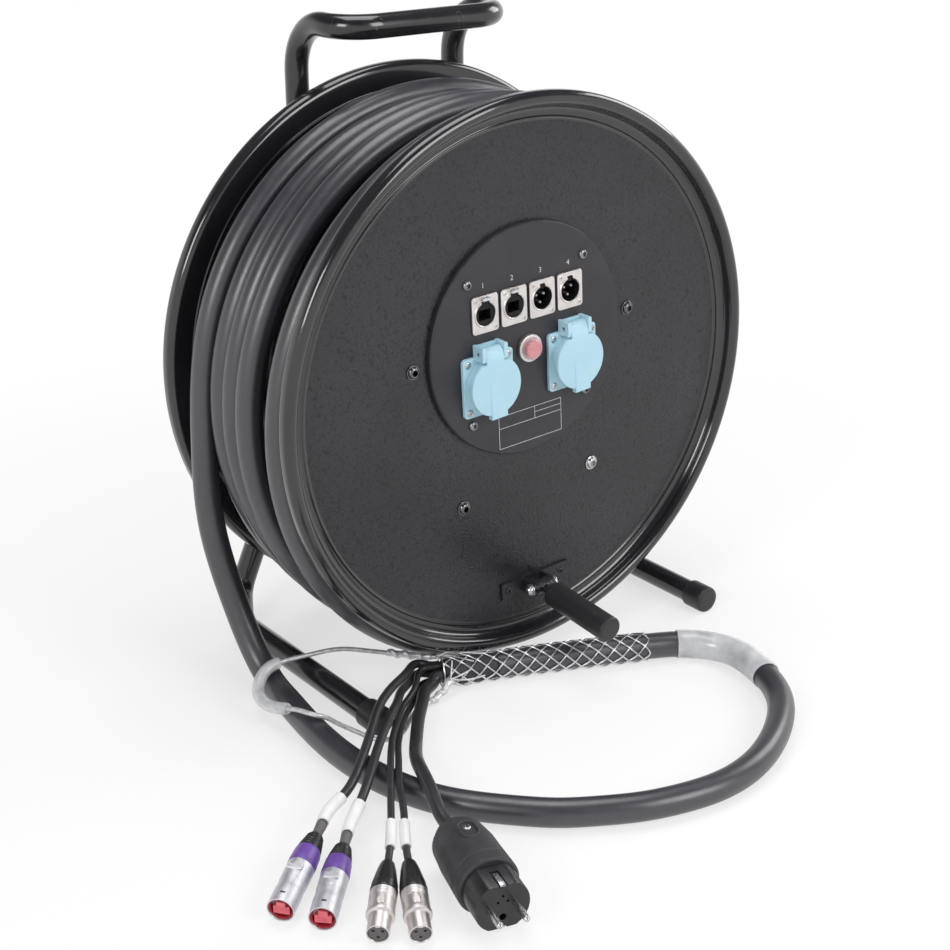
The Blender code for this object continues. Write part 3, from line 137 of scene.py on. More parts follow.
# Standing turn: depth and radius where it comes up and where it lies, and the angles from which and to which
STANDING_START = (0.071, 0.200)
STANDING_LANE = (0.048, 0.2227)
STANDING_SAG = 0.0086
STANDING_FROM, STANDING_TO, STANDING_EASE = math.radians(-110), math.radians(172), math.radians(95)
PART_OF_TURN = 2 * math.pi / 24

# The cable's own way to the floor and round to its end, in millimetres from the middle of the drum
FREE_ROUTE = (
    (-225.5, 48, 200), (-226.5, 47, 173), (-226.5, 41, 131), (-223, 33, 97), (-218.5, 20, 62), (-215, 2, 31),
    (-214.5, -20, 14), (-218.5, -50, 11.4), (-223, -79.5, 11.2), (-228.7, -132.4, 11.2), (-227.1, -178.7, 11.2),
    (-219.5, -213.8, 11.2), (-206.1, -245.9, 11.2), (-188.3, -270.9, 11.2), (-168.3, -292.6, 11.2),
    (-146.9, -312.1, 11.2), (-122.1, -327.7, 11.2), (-95.5, -341.4, 11.2), (-65, -351.3, 11.2), (-29.3, -356.6, 11.2),
    (6.4, -352.5, 11.2), (42.6, -338.4, 11.2), (76.5, -316.7, 11.2), (99.7, -294.6, 11.3), (114.9, -268.9, 12),
    (122.2, -244.5, 12.7), (125.2, -218.1, 13), (117.1, -196.1, 13), (99.1, -177.9, 13),
    (77, -166, 13.2), (34, -147, 13.3), (-8.4, -128.5, 13.3), (-50, -112, 13.3),
)
END_GAP = 0.0003
SPLITTER_LENGTH = 0.0475
TAIL_LEAD = 0.006

# Distances from the cable's end between which the pulling grip and the clear sleeve lie
GRIP_STRETCH = (0.133, 0.0)
SLEEVE_STRETCH = (0.257, 0.160)
SLEEVE_LIFT, SLEEVE_INSIDE, SLEEVE_OUTSIDE = 0.0003, 0.0007, 0.0012

# Tails: name, kind, place on the boot's face, way over the floor, connector's front and direction back
TAILS = (
    ("cat_tail_1", "cat", (-6.6, 3.9), (
        (-105, -81, 19), (-125, -91, 23.5), (-152, -110.5, 28.5), (-167, -121.5, 30.5), (-181.5, -133, 31),
        (-211, -162.5, 29), (-241, -193, 28), (-268, -214.5, 25),
    ), (-368.2, -288.2, 10.8), (0.774, 0.620, 0.127)),
    ("cat_tail_2", "cat", (-6.6, -3.9), (
        (-104, -81.5, 10), (-124, -91, 13), (-148, -112.5, 20.5), (-165, -131, 24), (-176, -141, 25.5),
        (-186.5, -151, 26), (-219.5, -184, 27.5), (-247.5, -214, 27.5), (-268.8, -232.5, 23),
    ), (-350.8, -312.8, 10.5), (0.693, 0.717, 0.075)),
    ("audio_tail_1", "audio", (-0.2, 6.4), (
        (-106, -88.5, 18.8), (-126.5, -103.3, 15.6), (-151, -121, 14), (-171, -141, 16.5), (-195, -169, 21),
        (-218, -200, 26.5), (-238, -229, 27.5), (-253, -251, 25),
    ), (-330.7, -348.0, 10.4), (0.642, 0.755, 0.135)),
    ("audio_tail_2", "audio", (-0.2, -6.4), (
        (-105, -89, 5.5), (-127, -103.5, 5.5), (-150, -124, 7.7), (-165, -139, 9.5), (-186.5, -164.5, 12.5),
        (-209.5, -198, 22.5), (-231.5, -231, 27.5), (-247.5, -259, 25),
    ), (-308.4, -365.0, 10.4), (0.470, 0.870, 0.152)),
    ("power_tail", "power", (6.0, 0.0), (
        (-104.5, -99, 11.5), (-118, -106, 10), (-130, -118, 10), (-145.5, -135, 10), (-166, -160, 10),
        (-190, -193, 17), (-210.5, -230.5, 28.5), (-221.5, -257, 29.5), (-230.5, -280, 27),
    ), (-255.5, -378.0, 22.5), (0.250, 0.968, 0.031)),
)

# Each kind's radius and connector length, and where its white sleeve lies, by the distance from the tail's end
TAIL_SIZES = {"cat": (0.0036, 0.088), "audio": (0.0027, 0.068), "power": (0.0052, 0.080)}
TAIL_SLEEVES = {"cat": (0.032, 0.0008), "audio": (0.042, 0.0135)}
TAIL_SLEEVE_WALL = 0.0011

# The wire rope's way from splice to splice, and where its clear tube lies, by the distance from its end
ROPE_ROUTE = (
    (-88, -79.5, 19), (-98, -67, 18), (-112, -56, 20), (-133.5, -46.5, 25.5), (-154.5, -34.5, 29),
    (-180.5, -29, 30), (-206, -27, 31), (-221, -28, 29.5), (-234, -35, 22), (-240, -48, 17.5), (-239.5, -62, 17),
    (-236.5, -78, 21), (-233.5, -97, 27), (-229, -109, 27.5), (-221, -112.5, 24), (-210, -109, 14.5),
    (-201, -112, 7.5), (-193, -126, 4), (-184.5, -139, 2.6), (-172, -141.5, 2.3), (-159, -135, 2.3),
    (-146.5, -125, 2.7), (-131, -118, 4.2), (-117, -117, 6), (-106, -115, 10), (-96, -110.2, 14),
)
THIMBLE_STRETCH = (0.276, 0.197)
THIMBLE_BORE, THIMBLE_RADIUS, THIMBLE_END = 0.0023, 0.0050, 0.0044
SPLICE_LENGTH, SPLICE_RADIUS = 0.039, 0.0027

# Wires from each splice to the pulling grip: angle round the boot's axis, and distance back from the boot's end
GATHERED_WIRES = (
    ((60, 0.020), (95, 0.035), (125, 0.026)), ((110, 0.008), (155, 0.022), (185, 0.034), (230, 0.024)),
)
GATHERED_RADIUS, GATHERED_REACH = 0.00068, 0.0128

# The photograph's camera, solved from the drum's two rims
CAMERA_PLACE = (-0.84405, -1.10515, 0.71973)
CAMERA_TURN = (67.51, 0.0, -37.21)
CAMERA_LENS = 65.985


# Shapes

SHARP_EDGE = 35.0
FINISHES = {}


def unit(vectors):
    vectors = np.asarray(vectors, float)
    return vectors / np.linalg.norm(vectors, axis=-1, keepdims=True)


def walked(points):
    """The distance along a line of points to each of them."""
    return np.concatenate([[0.0], np.cumsum(np.linalg.norm(np.diff(points, axis=0), axis=1))])


def resampled(curve, spacing):
    """Evenly spaced points of a line."""
    distance = walked(curve)
    even = np.linspace(0, distance[-1], max(3, round(distance[-1] / spacing) + 1))
    return np.column_stack([np.interp(even, distance, curve[:, k]) for k in range(3)])


def smooth_route(points, spacing):
    """Evenly spaced points of the natural cubic curve through a cord's own points."""
    points = np.asarray(points, float)
    knots = walked(points)
    gaps = np.diff(knots)
    count = len(points)
    inner = np.arange(1, count - 1)
    matrix = np.eye(count)
    matrix[inner, inner - 1] = gaps[:-1]
    matrix[inner, inner] = 2 * (gaps[:-1] + gaps[1:])
    matrix[inner, inner + 1] = gaps[1:]
    slope = np.diff(points, axis=0) / gaps[:, None]
    right = np.zeros_like(points)
    right[1:-1] = 6 * np.diff(slope, axis=0)
    bend = np.linalg.solve(matrix, right)
    fine = np.linspace(0, knots[-1], 40 * count)
    span = np.clip(np.searchsorted(knots, fine) - 1, 0, count - 2)
    width = gaps[span][:, None]
    ahead = (fine - knots[span])[:, None] / width
    behind = 1 - ahead
    curve = behind * points[span] + ahead * points[span + 1]
    curve += width**2 / 6 * ((behind**3 - behind) * bend[span] + (ahead**3 - ahead) * bend[span + 1])
    return resampled(curve, spacing)


def stretch(route, start, stop):
    """The points of a route between two distances from its end, with both ends of the stretch."""
    back = walked(route)[-1] - walked(route)
    ends = [np.array([np.interp(-far, -back, route[:, k]) for k in range(3)]) for far in (start, stop)]
    inside = route[(back < start - 1e-5) & (back > stop + 1e-5)]
    return np.vstack([ends[0], inside, ends[1]])


def frames_along(path):
    """Directions of a path and two directions across it, carried from each point to the next without twist."""
    tangent = unit(np.gradient(path, axis=0))
    first = np.cross(tangent[0], (0.0, 0.0, 1.0))
    if np.linalg.norm(first) < 0.1:
        first = np.cross(tangent[0], (0.0, 1.0, 0.0))
    side = np.empty_like(path)
    side[0] = unit(first)
    for step in range(1, len(path)):
        carried = side[step - 1] - tangent[step] * (side[step - 1] @ tangent[step])
        side[step] = carried / np.linalg.norm(carried)
    return tangent, side, np.cross(side, tangent)


def tube_grid(path, radius, sides=24, shape=None):
    """Rings along a path: point = centre + radius (cos a side + sin a top), the radius by station or by both."""
    _, side, top = frames_along(path)
    angle = 2 * math.pi * np.arange(sides) / sides
    reach = np.broadcast_to(np.asarray(radius, float).reshape(-1, 1), (len(path), sides)).copy()
    if shape is not None:
        reach *= shape(walked(path)[:, None], angle[None, :])
    return (path[:, None] + (reach * np.cos(angle))[..., None] * side[:, None]
            + (reach * np.sin(angle))[..., None] * top[:, None])


def softened(path, radius, ends=0.0008):
    """A path and its radii with both ends rounded over a short length."""
    inward = unit(path[1] - path[0]), unit(path[-2] - path[-1])
    radius = np.broadcast_to(radius, len(path)).astype(float)
    path = np.vstack([path[0], path[0] + inward[0] * ends, path[1:-1], path[-1] + inward[1] * ends, path[-1]])
    radius = np.concatenate([[radius[0] - ends], [radius[0]], radius[1:-1], [radius[-1]], [radius[-1] - ends]])
    return path, radius


def filleted(corners, steps=4):
    """A profile whose corners (a, b, radius) are rounded, each by a quadratic arc that leaves both its sides
    at the distance radius / tan(half the angle between them), or else about half way along them."""
    corners = [tuple(corner) + (0.0,) * (3 - len(corner)) for corner in corners]
    points = [corners[0][:2]]
    for before, corner, after in zip(corners, corners[1:], corners[2:]):
        middle = np.array(corner[:2])
        if corner[2] <= 0:
            points.append(tuple(middle))
            continue
        into = np.array(before[:2]) - middle
        out = np.array(after[:2]) - middle
        lengths = np.linalg.norm(into), np.linalg.norm(out)
        into, out = into / lengths[0], out / lengths[1]
        half = math.acos(np.clip(into @ out, -1, 1)) / 2
        reach = min(corner[2] / math.tan(half), 0.49 * lengths[0], 0.49 * lengths[1])
        share = np.linspace(0, 1, steps + 1)[:, None]
        arc = (1 - share)**2 * (middle + into * reach) + 2 * share * (1 - share) * middle
        points += [tuple(p) for p in arc + share**2 * (middle + out * reach)]
    points.append(corners[-1][:2])
    return np.array(points)


def circle(radius, sides=48, centre=(0.0, 0.0)):
    angle = 2 * math.pi * (np.arange(sides) + 0.5) / sides
    return radius * np.column_stack([np.cos(angle), np.sin(angle)]) + centre


def rounded_rectangle(width, height, corner, sides=48):
    """Four quarter arcs, so that its points match those of circle() by number."""
    quarter = sides // 4
    sweep = np.linspace(0, math.pi / 2, quarter)[None, :] + np.arange(4)[:, None] * math.pi / 2
    right = np.array([1, -1, -1, 1])[:, None] * (width / 2 - corner)
    up = np.array([1, 1, -1, -1])[:, None] * (height / 2 - corner)
    return np.stack([right + corner * np.cos(sweep), up + corner * np.sin(sweep)], axis=-1).reshape(-1, 2)


def cross_outline(length, width, sides=48):
    """A plus sign as a radius by angle: the larger of the exits from its two bars."""
    angle = 2 * math.pi * (np.arange(sides) + 0.5) / sides
    c, s = np.abs(np.cos(angle)) + 1e-9, np.abs(np.sin(angle)) + 1e-9
    reach = np.maximum(np.minimum(length / c, width / s), np.minimum(width / c, length / s))
    return reach[:, None] * np.column_stack([np.cos(angle), np.sin(angle)])


def hexagon(flats, sides=48):
    angle = 2 * math.pi * (np.arange(sides) + 0.5) / sides
    within = angle % (math.pi / 3) - math.pi / 6
    return (flats / 2 / np.cos(within))[:, None] * np.column_stack([np.cos(angle), np.sin(angle)])


def on_drum(points):
    """Points given from the drum's middle, turned as the drum is and put on its axle."""
    x, y, z = np.moveaxis(np.asarray(points, float), -1, 0)
    c, s = math.cos(TURN), math.sin(TURN)
    return np.stack([x * c - z * s, y + REEL_Y, x * s + z * c + AXLE_HEIGHT], axis=-1)


def turned_with_drum(vector):
    return on_drum(vector) - on_drum((0, 0, 0))


def on_panel(x, z, out=0.0, face=PANEL_FACE):
    """A place on the drum's front: its point, the directions across, outwards and up."""
    return (on_drum((x, -face - out, z)), turned_with_drum((1, 0, 0)), turned_with_drum((0, -1, 0)),
            turned_with_drum((0, 0, 1)))


def lying(front, back):
    """A place at a connector's front: across it, back along its axis, and up."""
    along = unit(back)
    across = unit(np.cross(along, (0, 0, 1)))
    return np.asarray(front, float), across, along, np.cross(across, along)


def shifted(place, across=0.0, along=0.0, up=0.0):
    """A place moved by millimetres."""
    origin, x, y, z = place
    return origin + MM * (across * x + along * y + up * z), x, y, z


def facing_up(place, across=0.0, along=0.0, up=0.0):
    """A place shifted and then turned, so that its axis points up and its old axis down across it."""
    origin, x, y, z = shifted(place, across, along, up)
    return origin, x, z, -y


def along_across(place):
    """A place whose axis is turned to point across it, so that an outline's first number counts inwards."""
    origin, across, out, up = place
    return origin, -out, across, up


def put(local, place):
    """Points (across, along, up) of a place in metres. They are given in millimetres, as is all of a shape
    that is built at a place."""
    origin, x, y, z = place
    local = MM * np.asarray(local, float)
    return origin + local[..., :1] * x + local[..., 1:2] * y + local[..., 2:] * z


def lathed(profile, place, sides=48, shape=None, loop=False):
    """A profile (radius, height) turned about a place's axis. The shape multiplies the radius by height, angle."""
    profile = np.asarray(profile, float)
    angle = 2 * math.pi * (np.arange(sides) + 0.5) / sides
    reach = np.repeat(profile[:, :1], sides, axis=1)
    height = np.repeat(profile[:, 1:2], sides, axis=1)
    if shape is not None:
        reach = reach * shape(height, angle[None, :])
    return shell(put(np.stack([reach * np.cos(angle), height, reach * np.sin(angle)], axis=-1), place), loop)


def stacked(steps, place, sides=48, loop=False):
    """A skin over pairs of a flat outline (across, up) or a circle's radius, and a height along a place's axis."""
    rows = []
    for outline, height in steps:
        outline = outline if np.ndim(outline) else circle(outline, sides)
        rows.append(np.column_stack([outline[:, 0], np.full(len(outline), height), outline[:, 1]]))
    return shell(put(np.array(rows), place), loop)


def shell(grid, loop=False):
    """A closed skin over a grid whose columns close round. The rows' ends are closed by fans, or looped they
    meet. It is turned outwards by the sign of its volume, the sum of its corners' triple products."""
    rows, sides = grid.shape[:2]
    points = grid.reshape(-1, 3)
    index = np.arange(rows * sides).reshape(rows, sides)
    here = index if loop else index[:-1]
    there = np.roll(index, -1, axis=0) if loop else index[1:]
    quads = np.stack([here, np.roll(here, -1, 1), np.roll(there, -1, 1), there], axis=-1).reshape(-1, 4)
    triangles = np.concatenate([quads[:, [0, 1, 2]], quads[:, [0, 2, 3]]])
    fans = np.empty((0, 3), int)
    if not loop:
        first, last = index[0], index[-1]
        points = np.vstack([points, points[first].mean(0), points[last].mean(0)])
        low, high = rows * sides, rows * sides + 1
        fans = np.concatenate([
            np.stack([np.roll(first, -1), first, np.full(sides, low)], axis=-1),
            np.stack([last, np.roll(last, -1), np.full(sides, high)], axis=-1),
        ])
        triangles = np.concatenate([triangles, fans])
    corner = points[triangles] - points.mean(0)
    if np.einsum("ij,ij->i", corner[:, 0], np.cross(corner[:, 1], corner[:, 2])).sum() < 0:
        quads, fans = quads[:, ::-1], fans[:, ::-1]
    return points, quads.tolist() + fans.tolist()


def tube(path, radius, sides=24, shape=None):
    """A closed tube round a path."""
    return shell(tube_grid(path, radius, sides, shape))


def hose(path, outside, inside, sides, shape=None):
    """A tube with a bore, open at both ends."""
    return shell(np.concatenate([tube_grid(path, outside, sides, shape),
                                 tube_grid(path, inside, sides, shape)[::-1]]), loop=True)


def bevelled(outline, low, high, place, bevel=0.4):
    """An outline carried from low to high along a place's axis, its two edges drawn in by the bevel."""
    size = np.abs(outline - outline.mean(0)).max(0)
    inset = outline.mean(0) + (outline - outline.mean(0)) * (1 - bevel / size)
    return stacked([(inset, low), (outline, low + bevel), (outline, high - bevel), (inset, high)], place)


def block(width, height, corner, low, high, place, bevel, at=(0, 0), sides=32):
    """A rounded rectangle about a point of a place, carried from low to high."""
    return bevelled(rounded_rectangle(width, height, corner, sides) + at, low, high, place, bevel)


def pillar(outline, low, high, place):
    """An outline carried straight from low to high."""
    return stacked([(outline, low), (outline, high)], place)


def as_object(name, shells):
    """One linked object from closed shells."""
    points = np.vstack([p for p, _ in shells])
    starts = np.cumsum([0] + [len(p) for p, _ in shells])
    faces = [[corner + int(start) for corner in face] for start, (_, fs) in zip(starts, shells) for face in fs]
    mesh = bpy.data.meshes.new(name)
    mesh.from_pydata(points.tolist(), [], faces)
    obj = bpy.data.objects.new(name, mesh)
    bpy.context.scene.collection.objects.link(obj)
    return obj


def make(name, shells, finish, body, replaces=(), sharp=SHARP_EDGE):
    """One object from its shells, with its finish, riding on its body."""
    obj = as_object(name, shells)
    obj.data.shade_smooth()
    obj.data.set_sharp_from_angle(angle=math.radians(sharp))
    material, slot = FINISHES[finish]
    obj.data.materials.append(material)
    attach(obj, body)
    if replaces:
        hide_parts(*replaces)
    return obj


def lathe(name, corners, place, finish, body, replaces=(), sides=48, shape=None, loop=False, steps=4):
    """One object from a rounded profile turned about a place's axis."""
    return make(name, [lathed(filleted(corners, steps), place, sides, shape, loop)], finish, body, replaces)


def cut(obj, cutters):
    """Takes closed shells out of an object for good."""
    knife = as_object("cutter", cutters)
    modifier = obj.modifiers.new("cut", "BOOLEAN")
    modifier.operation = "DIFFERENCE"
    modifier.solver = "EXACT"
    modifier.object = knife
    bpy.context.view_layer.update()
    result = bpy.data.meshes.new_from_object(obj.evaluated_get(bpy.context.evaluated_depsgraph_get()))
    obj.modifiers.clear()
    obj.data = result
    obj.data.set_sharp_from_angle(angle=math.radians(SHARP_EDGE))
    bpy.data.objects.remove(knife)
    return obj


def screw(place, radius, height, recess="hex", turn=0.0):
    """A domed head: height falls off as the square of the radius, with a hexagonal or crossed recess."""
    outline = hexagon(radius * 0.95) if recess == "hex" else cross_outline(radius * 0.60, radius * 0.17)
    outline = outline @ np.array([(math.cos(turn), math.sin(turn)), (-math.sin(turn), math.cos(turn))])
    dome = ((1.0, 0.0), (1.0, 0.35), (0.97, 0.52), (0.85, 0.78), (0.68, 0.93), (0.56, 0.97))
    steps = [(circle(radius * across), height * level) for across, level in dome]
    return stacked([*steps, (outline, height * 0.97), (outline * 0.9, height * 0.1)], place)


# Finishes

def new_group(name, inputs, outputs):
    """An empty shader group with named sockets: colours where the name says so, else numbers."""
    def kind(label):
        return "NodeSocketColor" if "Colour" in label else "NodeSocketFloat"

    group = bpy.data.node_groups.new(name, "ShaderNodeTree")
    for label, value in inputs.items():
        group.interface.new_socket(label, in_out="INPUT", socket_type=kind(label)).default_value = value
    for label in outputs:
        group.interface.new_socket(label, in_out="OUTPUT", socket_type=kind(label))
    return group, group.nodes.new("NodeGroupInput").outputs, group.nodes.new("NodeGroupOutput").inputs


def fed(tree, socket, source):
    if isinstance(source, bpy.types.NodeSocket):
        tree.links.new(source, socket)
    else:
        socket.default_value = source


def node(tree, kind, *given, out=0, settings=(), **named):
    """A shader node's output. What feeds the node is given in its inputs' order or by name."""
    made = tree.nodes.new("ShaderNode" + kind)
    for key, value in dict(settings).items():
        setattr(made, key, value)
    for socket, source in zip(made.inputs, given):
        fed(tree, socket, source)
    for label, source in named.items():
        fed(tree, made.inputs[label.replace("_", " ")], source)
    return made.outputs[out]


def object_place(tree):
    return node(tree, "TexCoord", out="Object")


def calc(tree, operation, *values):
    return node(tree, "Math", *values, settings={"operation": operation})


def mapped(tree, *values, smooth=False):
    """A value carried from one range to another: value, from low, from high, to low, to high."""
    return node(tree, "MapRange", *values, settings={"interpolation_type": "SMOOTHSTEP"} if smooth else ())


def mixed(tree, share, first, second):
    """Two colours in shares."""
    made = node(tree, "Mix", settings={"data_type": "RGBA"}).node
    for socket, source in zip((made.inputs[0], made.inputs[6], made.inputs[7]), (share, first, second)):
        fed(tree, socket, source)
    return made.outputs[2]


def mottle_group():
    """Two tones and two roughnesses that drift over a surface, with a fine breakup of the second."""
    group, given, out = new_group("Mottle", {
        "Colour": (0.5, 0.5, 0.5, 1), "Other Colour": (0.4, 0.4, 0.4, 1), "Scale": 20.0, "Low Roughness": 0.3,
        "High Roughness": 0.5}, ("Colour", "Roughness"))
    where = object_place(group)
    broad = node(group, "TexNoise", Vector=where, Scale=given["Scale"], Detail=4.0)
    finer = calc(group, "MULTIPLY", given["Scale"], 6.0)
    fine = node(group, "TexNoise", Vector=where, Scale=finer, Detail=5.0, Roughness=0.6)
    tone = mapped(group, broad, 0.35, 0.65)
    fed(group, out["Colour"], mixed(group, tone, given["Colour"], given["Other Colour"]))
    fed(group, out["Roughness"], mapped(group, fine, 0.3, 0.7, given["Low Roughness"], given["High Roughness"]))
    return group


def grain_group():
    """The height of a fine moulded or powder-coated grain."""
    group, given, out = new_group("Grain", {"Scale": 900.0, "Coarse Share": 0.4}, ("Height",))
    where = object_place(group)
    fine = node(group, "TexNoise", Vector=where, Scale=given["Scale"], Detail=3.0, Roughness=0.65)
    quarter = calc(group, "MULTIPLY", given["Scale"], 0.25)
    coarse = node(group, "TexNoise", Vector=where, Scale=quarter, Detail=2.0)
    fed(group, out["Height"], node(group, "Mix", Factor=given["Coarse Share"], A=fine, B=coarse))
    return group


def hammered_group():
    """Hammered paint: rounded cells from smooth distances to scattered points, pushed about by noise."""
    group, given, out = new_group("Hammered", {"Cells": 420.0, "Drift": 0.0012}, ("Height", "Pits"))
    where = object_place(group)
    noise = node(group, "TexNoise", out="Color", Vector=where, Scale=260.0, Detail=2.0)
    centred = node(group, "VectorMath", noise, (0.5, 0.5, 0.5), settings={"operation": "SUBTRACT"})
    pushed = node(group, "VectorMath", centred, Scale=given["Drift"], settings={"operation": "SCALE"})
    moved = node(group, "VectorMath", where, pushed, settings={"operation": "ADD"})
    cells = node(group, "TexVoronoi", out="Distance", Vector=moved, Scale=given["Cells"], Smoothness=0.7,
                 settings={"feature": "SMOOTH_F1"})
    fed(group, out["Height"], mapped(group, cells, 0.1, 0.75, 1.0, 0.0, smooth=True))
    # Pits: the valleys between the cells, which dull the enamel and carry the painted shade put into them
    fed(group, out["Pits"], mapped(group, cells, 0.5, 0.8))
    return group


def scuff_group():
    """Thin scratches: narrow bands where a stretched noise passes its middle, broken up by a second noise."""
    group, given, out = new_group("Scuffs", {"Scale": 30.0, "Width": 0.004}, ("Mask",))
    where = object_place(group)
    lines = node(group, "TexNoise", Vector=where, Scale=given["Scale"], Detail=1.5, Distortion=1.2)
    away = calc(group, "ABSOLUTE", calc(group, "SUBTRACT", lines, 0.5))
    band = mapped(group, away, 0.0, given["Width"], 1.0, 0.0)
    gaps = node(group, "TexNoise", Vector=where, Scale=calc(group, "MULTIPLY", given["Scale"], 2.3))
    fed(group, out["Mask"], calc(group, "MULTIPLY", band, mapped(group, gaps, 0.52, 0.62)))
    return group


def surface_material(name, **constants):
    """A material with its Principled shader, whose constants are set on its own sockets."""
    made = bpy.data.materials.new(name)
    made.use_nodes = True
    shader = made.node_tree.nodes["Principled BSDF"]
    for label, value in constants.items():
        shader.inputs[label.replace("_", " ")].default_value = value
    return made, made.node_tree, shader.inputs


def placed(tree, group, **values):
    """A group in a material, as its outputs."""
    made = tree.nodes.new("ShaderNodeGroup")
    made.node_tree = group
    for label, value in values.items():
        made.inputs[label.replace("_", " ")].default_value = value
    return made.outputs


def coloured(value):
    return (*tuple(value)[:3], 1.0)


def two_tones(tree, groups, colour, other, patch, rough):
    return placed(tree, groups["mottle"], Colour=coloured(colour), Other_Colour=coloured(other), Scale=patch,
                  Low_Roughness=rough[0], High_Roughness=rough[1])


def finish_material(name, groups, colour, other, patch, rough, grain, depth, coarse=0.4, scuffs=None, **constants):
    """A finish in two tones with drifting roughness, a fine grain as bump, its depth in millimetres, and, if
    asked for, pale scuffs: their scale, width, strength and colour."""
    made, tree, shader = surface_material(name, **constants)
    tone = two_tones(tree, groups, colour, other, patch, rough)
    base = tone["Colour"]
    if scuffs:
        marks = placed(tree, groups["scuffs"], Scale=scuffs[0], Width=scuffs[1])
        base = mixed(tree, calc(tree, "MULTIPLY", marks["Mask"], scuffs[2]), base, coloured(scuffs[3]))
    fine = placed(tree, groups["grain"], Scale=grain, Coarse_Share=coarse)
    fed(tree, shader["Base Color"], base)
    fed(tree, shader["Roughness"], tone["Roughness"])
    fed(tree, shader["Normal"], node(tree, "Bump", Height=fine["Height"], Distance=MM * depth, Strength=1.0))
    return made


def paint_material(name, groups, colour, other, cells, depth, rough):
    """Hammered stove enamel: the cells as bump, duller in the pits between them, and darker there as painted shade."""
    made, tree, shader = surface_material(name, Coat_Weight=0.12, Coat_Roughness=0.12, Specular_IOR_Level=0.42)
    tone = two_tones(tree, groups, colour, other, 9.0, rough)
    cell = placed(tree, groups["hammered"], Cells=cells)
    bump = node(tree, "Bump", Height=cell["Height"], Distance=MM * depth, Strength=1.0)
    # Painted shade: the base colour goes near black in the pits between the cells
    fed(tree, shader["Base Color"], mixed(tree, cell["Pits"], tone["Colour"], (0.006, 0.006, 0.007, 1)))
    fed(tree, shader["Roughness"], calc(tree, "MULTIPLY_ADD", cell["Pits"], 0.12, tone["Roughness"]))
    fed(tree, shader["Normal"], bump)
    fed(tree, shader["Coat Normal"], bump)
    return made


def clear_material(name, groups, colour, alpha, rough, coat):
    """Milky clear plastic: a thin skin that lets part of what is behind it through, unevenly."""
    made, tree, shader = surface_material(name, Coat_Weight=coat, Coat_Roughness=0.08)
    tone = two_tones(tree, groups, colour, np.array(colour) * 0.9, 60.0, rough)
    cloud = node(tree, "TexNoise", Vector=object_place(tree), Scale=45.0, Detail=3.0)
    fed(tree, shader["Base Color"], tone["Colour"])
    fed(tree, shader["Roughness"], tone["Roughness"])
    fed(tree, shader["Alpha"], mapped(tree, cloud, 0.35, 0.65, *alpha))
    return made


# The finish of each solid that shows as it is
NODE_FINISHES = {
    "drum_paint": ("drum_barrel", "crank_bracket", "crank_arm"),
    "stand_paint": ("axle_plate",),
    "panel_paint": ("connector_panel",),
    "zinc": ("axle_shaft", "axle_nut", "hub_bearing_front", "hub_bearing_rear", "lid_pin_left", "lid_pin_right"),
}


def colour_setting(name, description, default):
    return FloatVectorProperty(name=name, description=description, subtype="COLOR", size=3, min=0, max=1,
                               default=default)


def length_setting(name, description, default, low, high):
    return FloatProperty(name=name, description=description, unit="LENGTH", default=default, min=low, max=high)


class ReelColours(PropertyGroup):
    paint: colour_setting("Paint", "Hammered paint of the drum", (0.017, 0.016, 0.019))
    jacket: colour_setting("Jacket", "The cable's jacket", (0.025, 0.024, 0.031))
    rubber: colour_setting("Rubber", "Tails, boots and the plug", (0.020, 0.020, 0.022))
    sockets: colour_setting("Power sockets", "Blue plastic of the power sockets", (0.46, 0.70, 0.80))
    collars: colour_setting("Collars", "Collars of the data connectors", (0.125, 0.055, 0.29))
    button: colour_setting("Button", "Reset button of the breaker", (0.72, 0.035, 0.05))


class ReelSizes(PropertyGroup):
    cable_radius: length_setting("Cable radius", "Radius of the cable's jacket", 0.011, 0.002, 0.03)
    tube_radius: length_setting("Tube radius", "Radius of the stand's tube", 0.010, 0.002, 0.03)
    rope_radius: length_setting("Rope radius", "Radius of the wire rope", 0.0021, 0.0005, 0.005)
    mesh_wire: length_setting("Mesh wire", "Radius of the pulling grip's wires", 0.00068, 0.0002, 0.002)
    mesh_strands: IntProperty(name="Mesh strands", description="Wires of the pulling grip each way round",
                              default=6, min=3, max=16)
    mesh_pitch: length_setting("Mesh pitch", "Length in which a wire goes once round", 0.084, 0.02, 0.3)


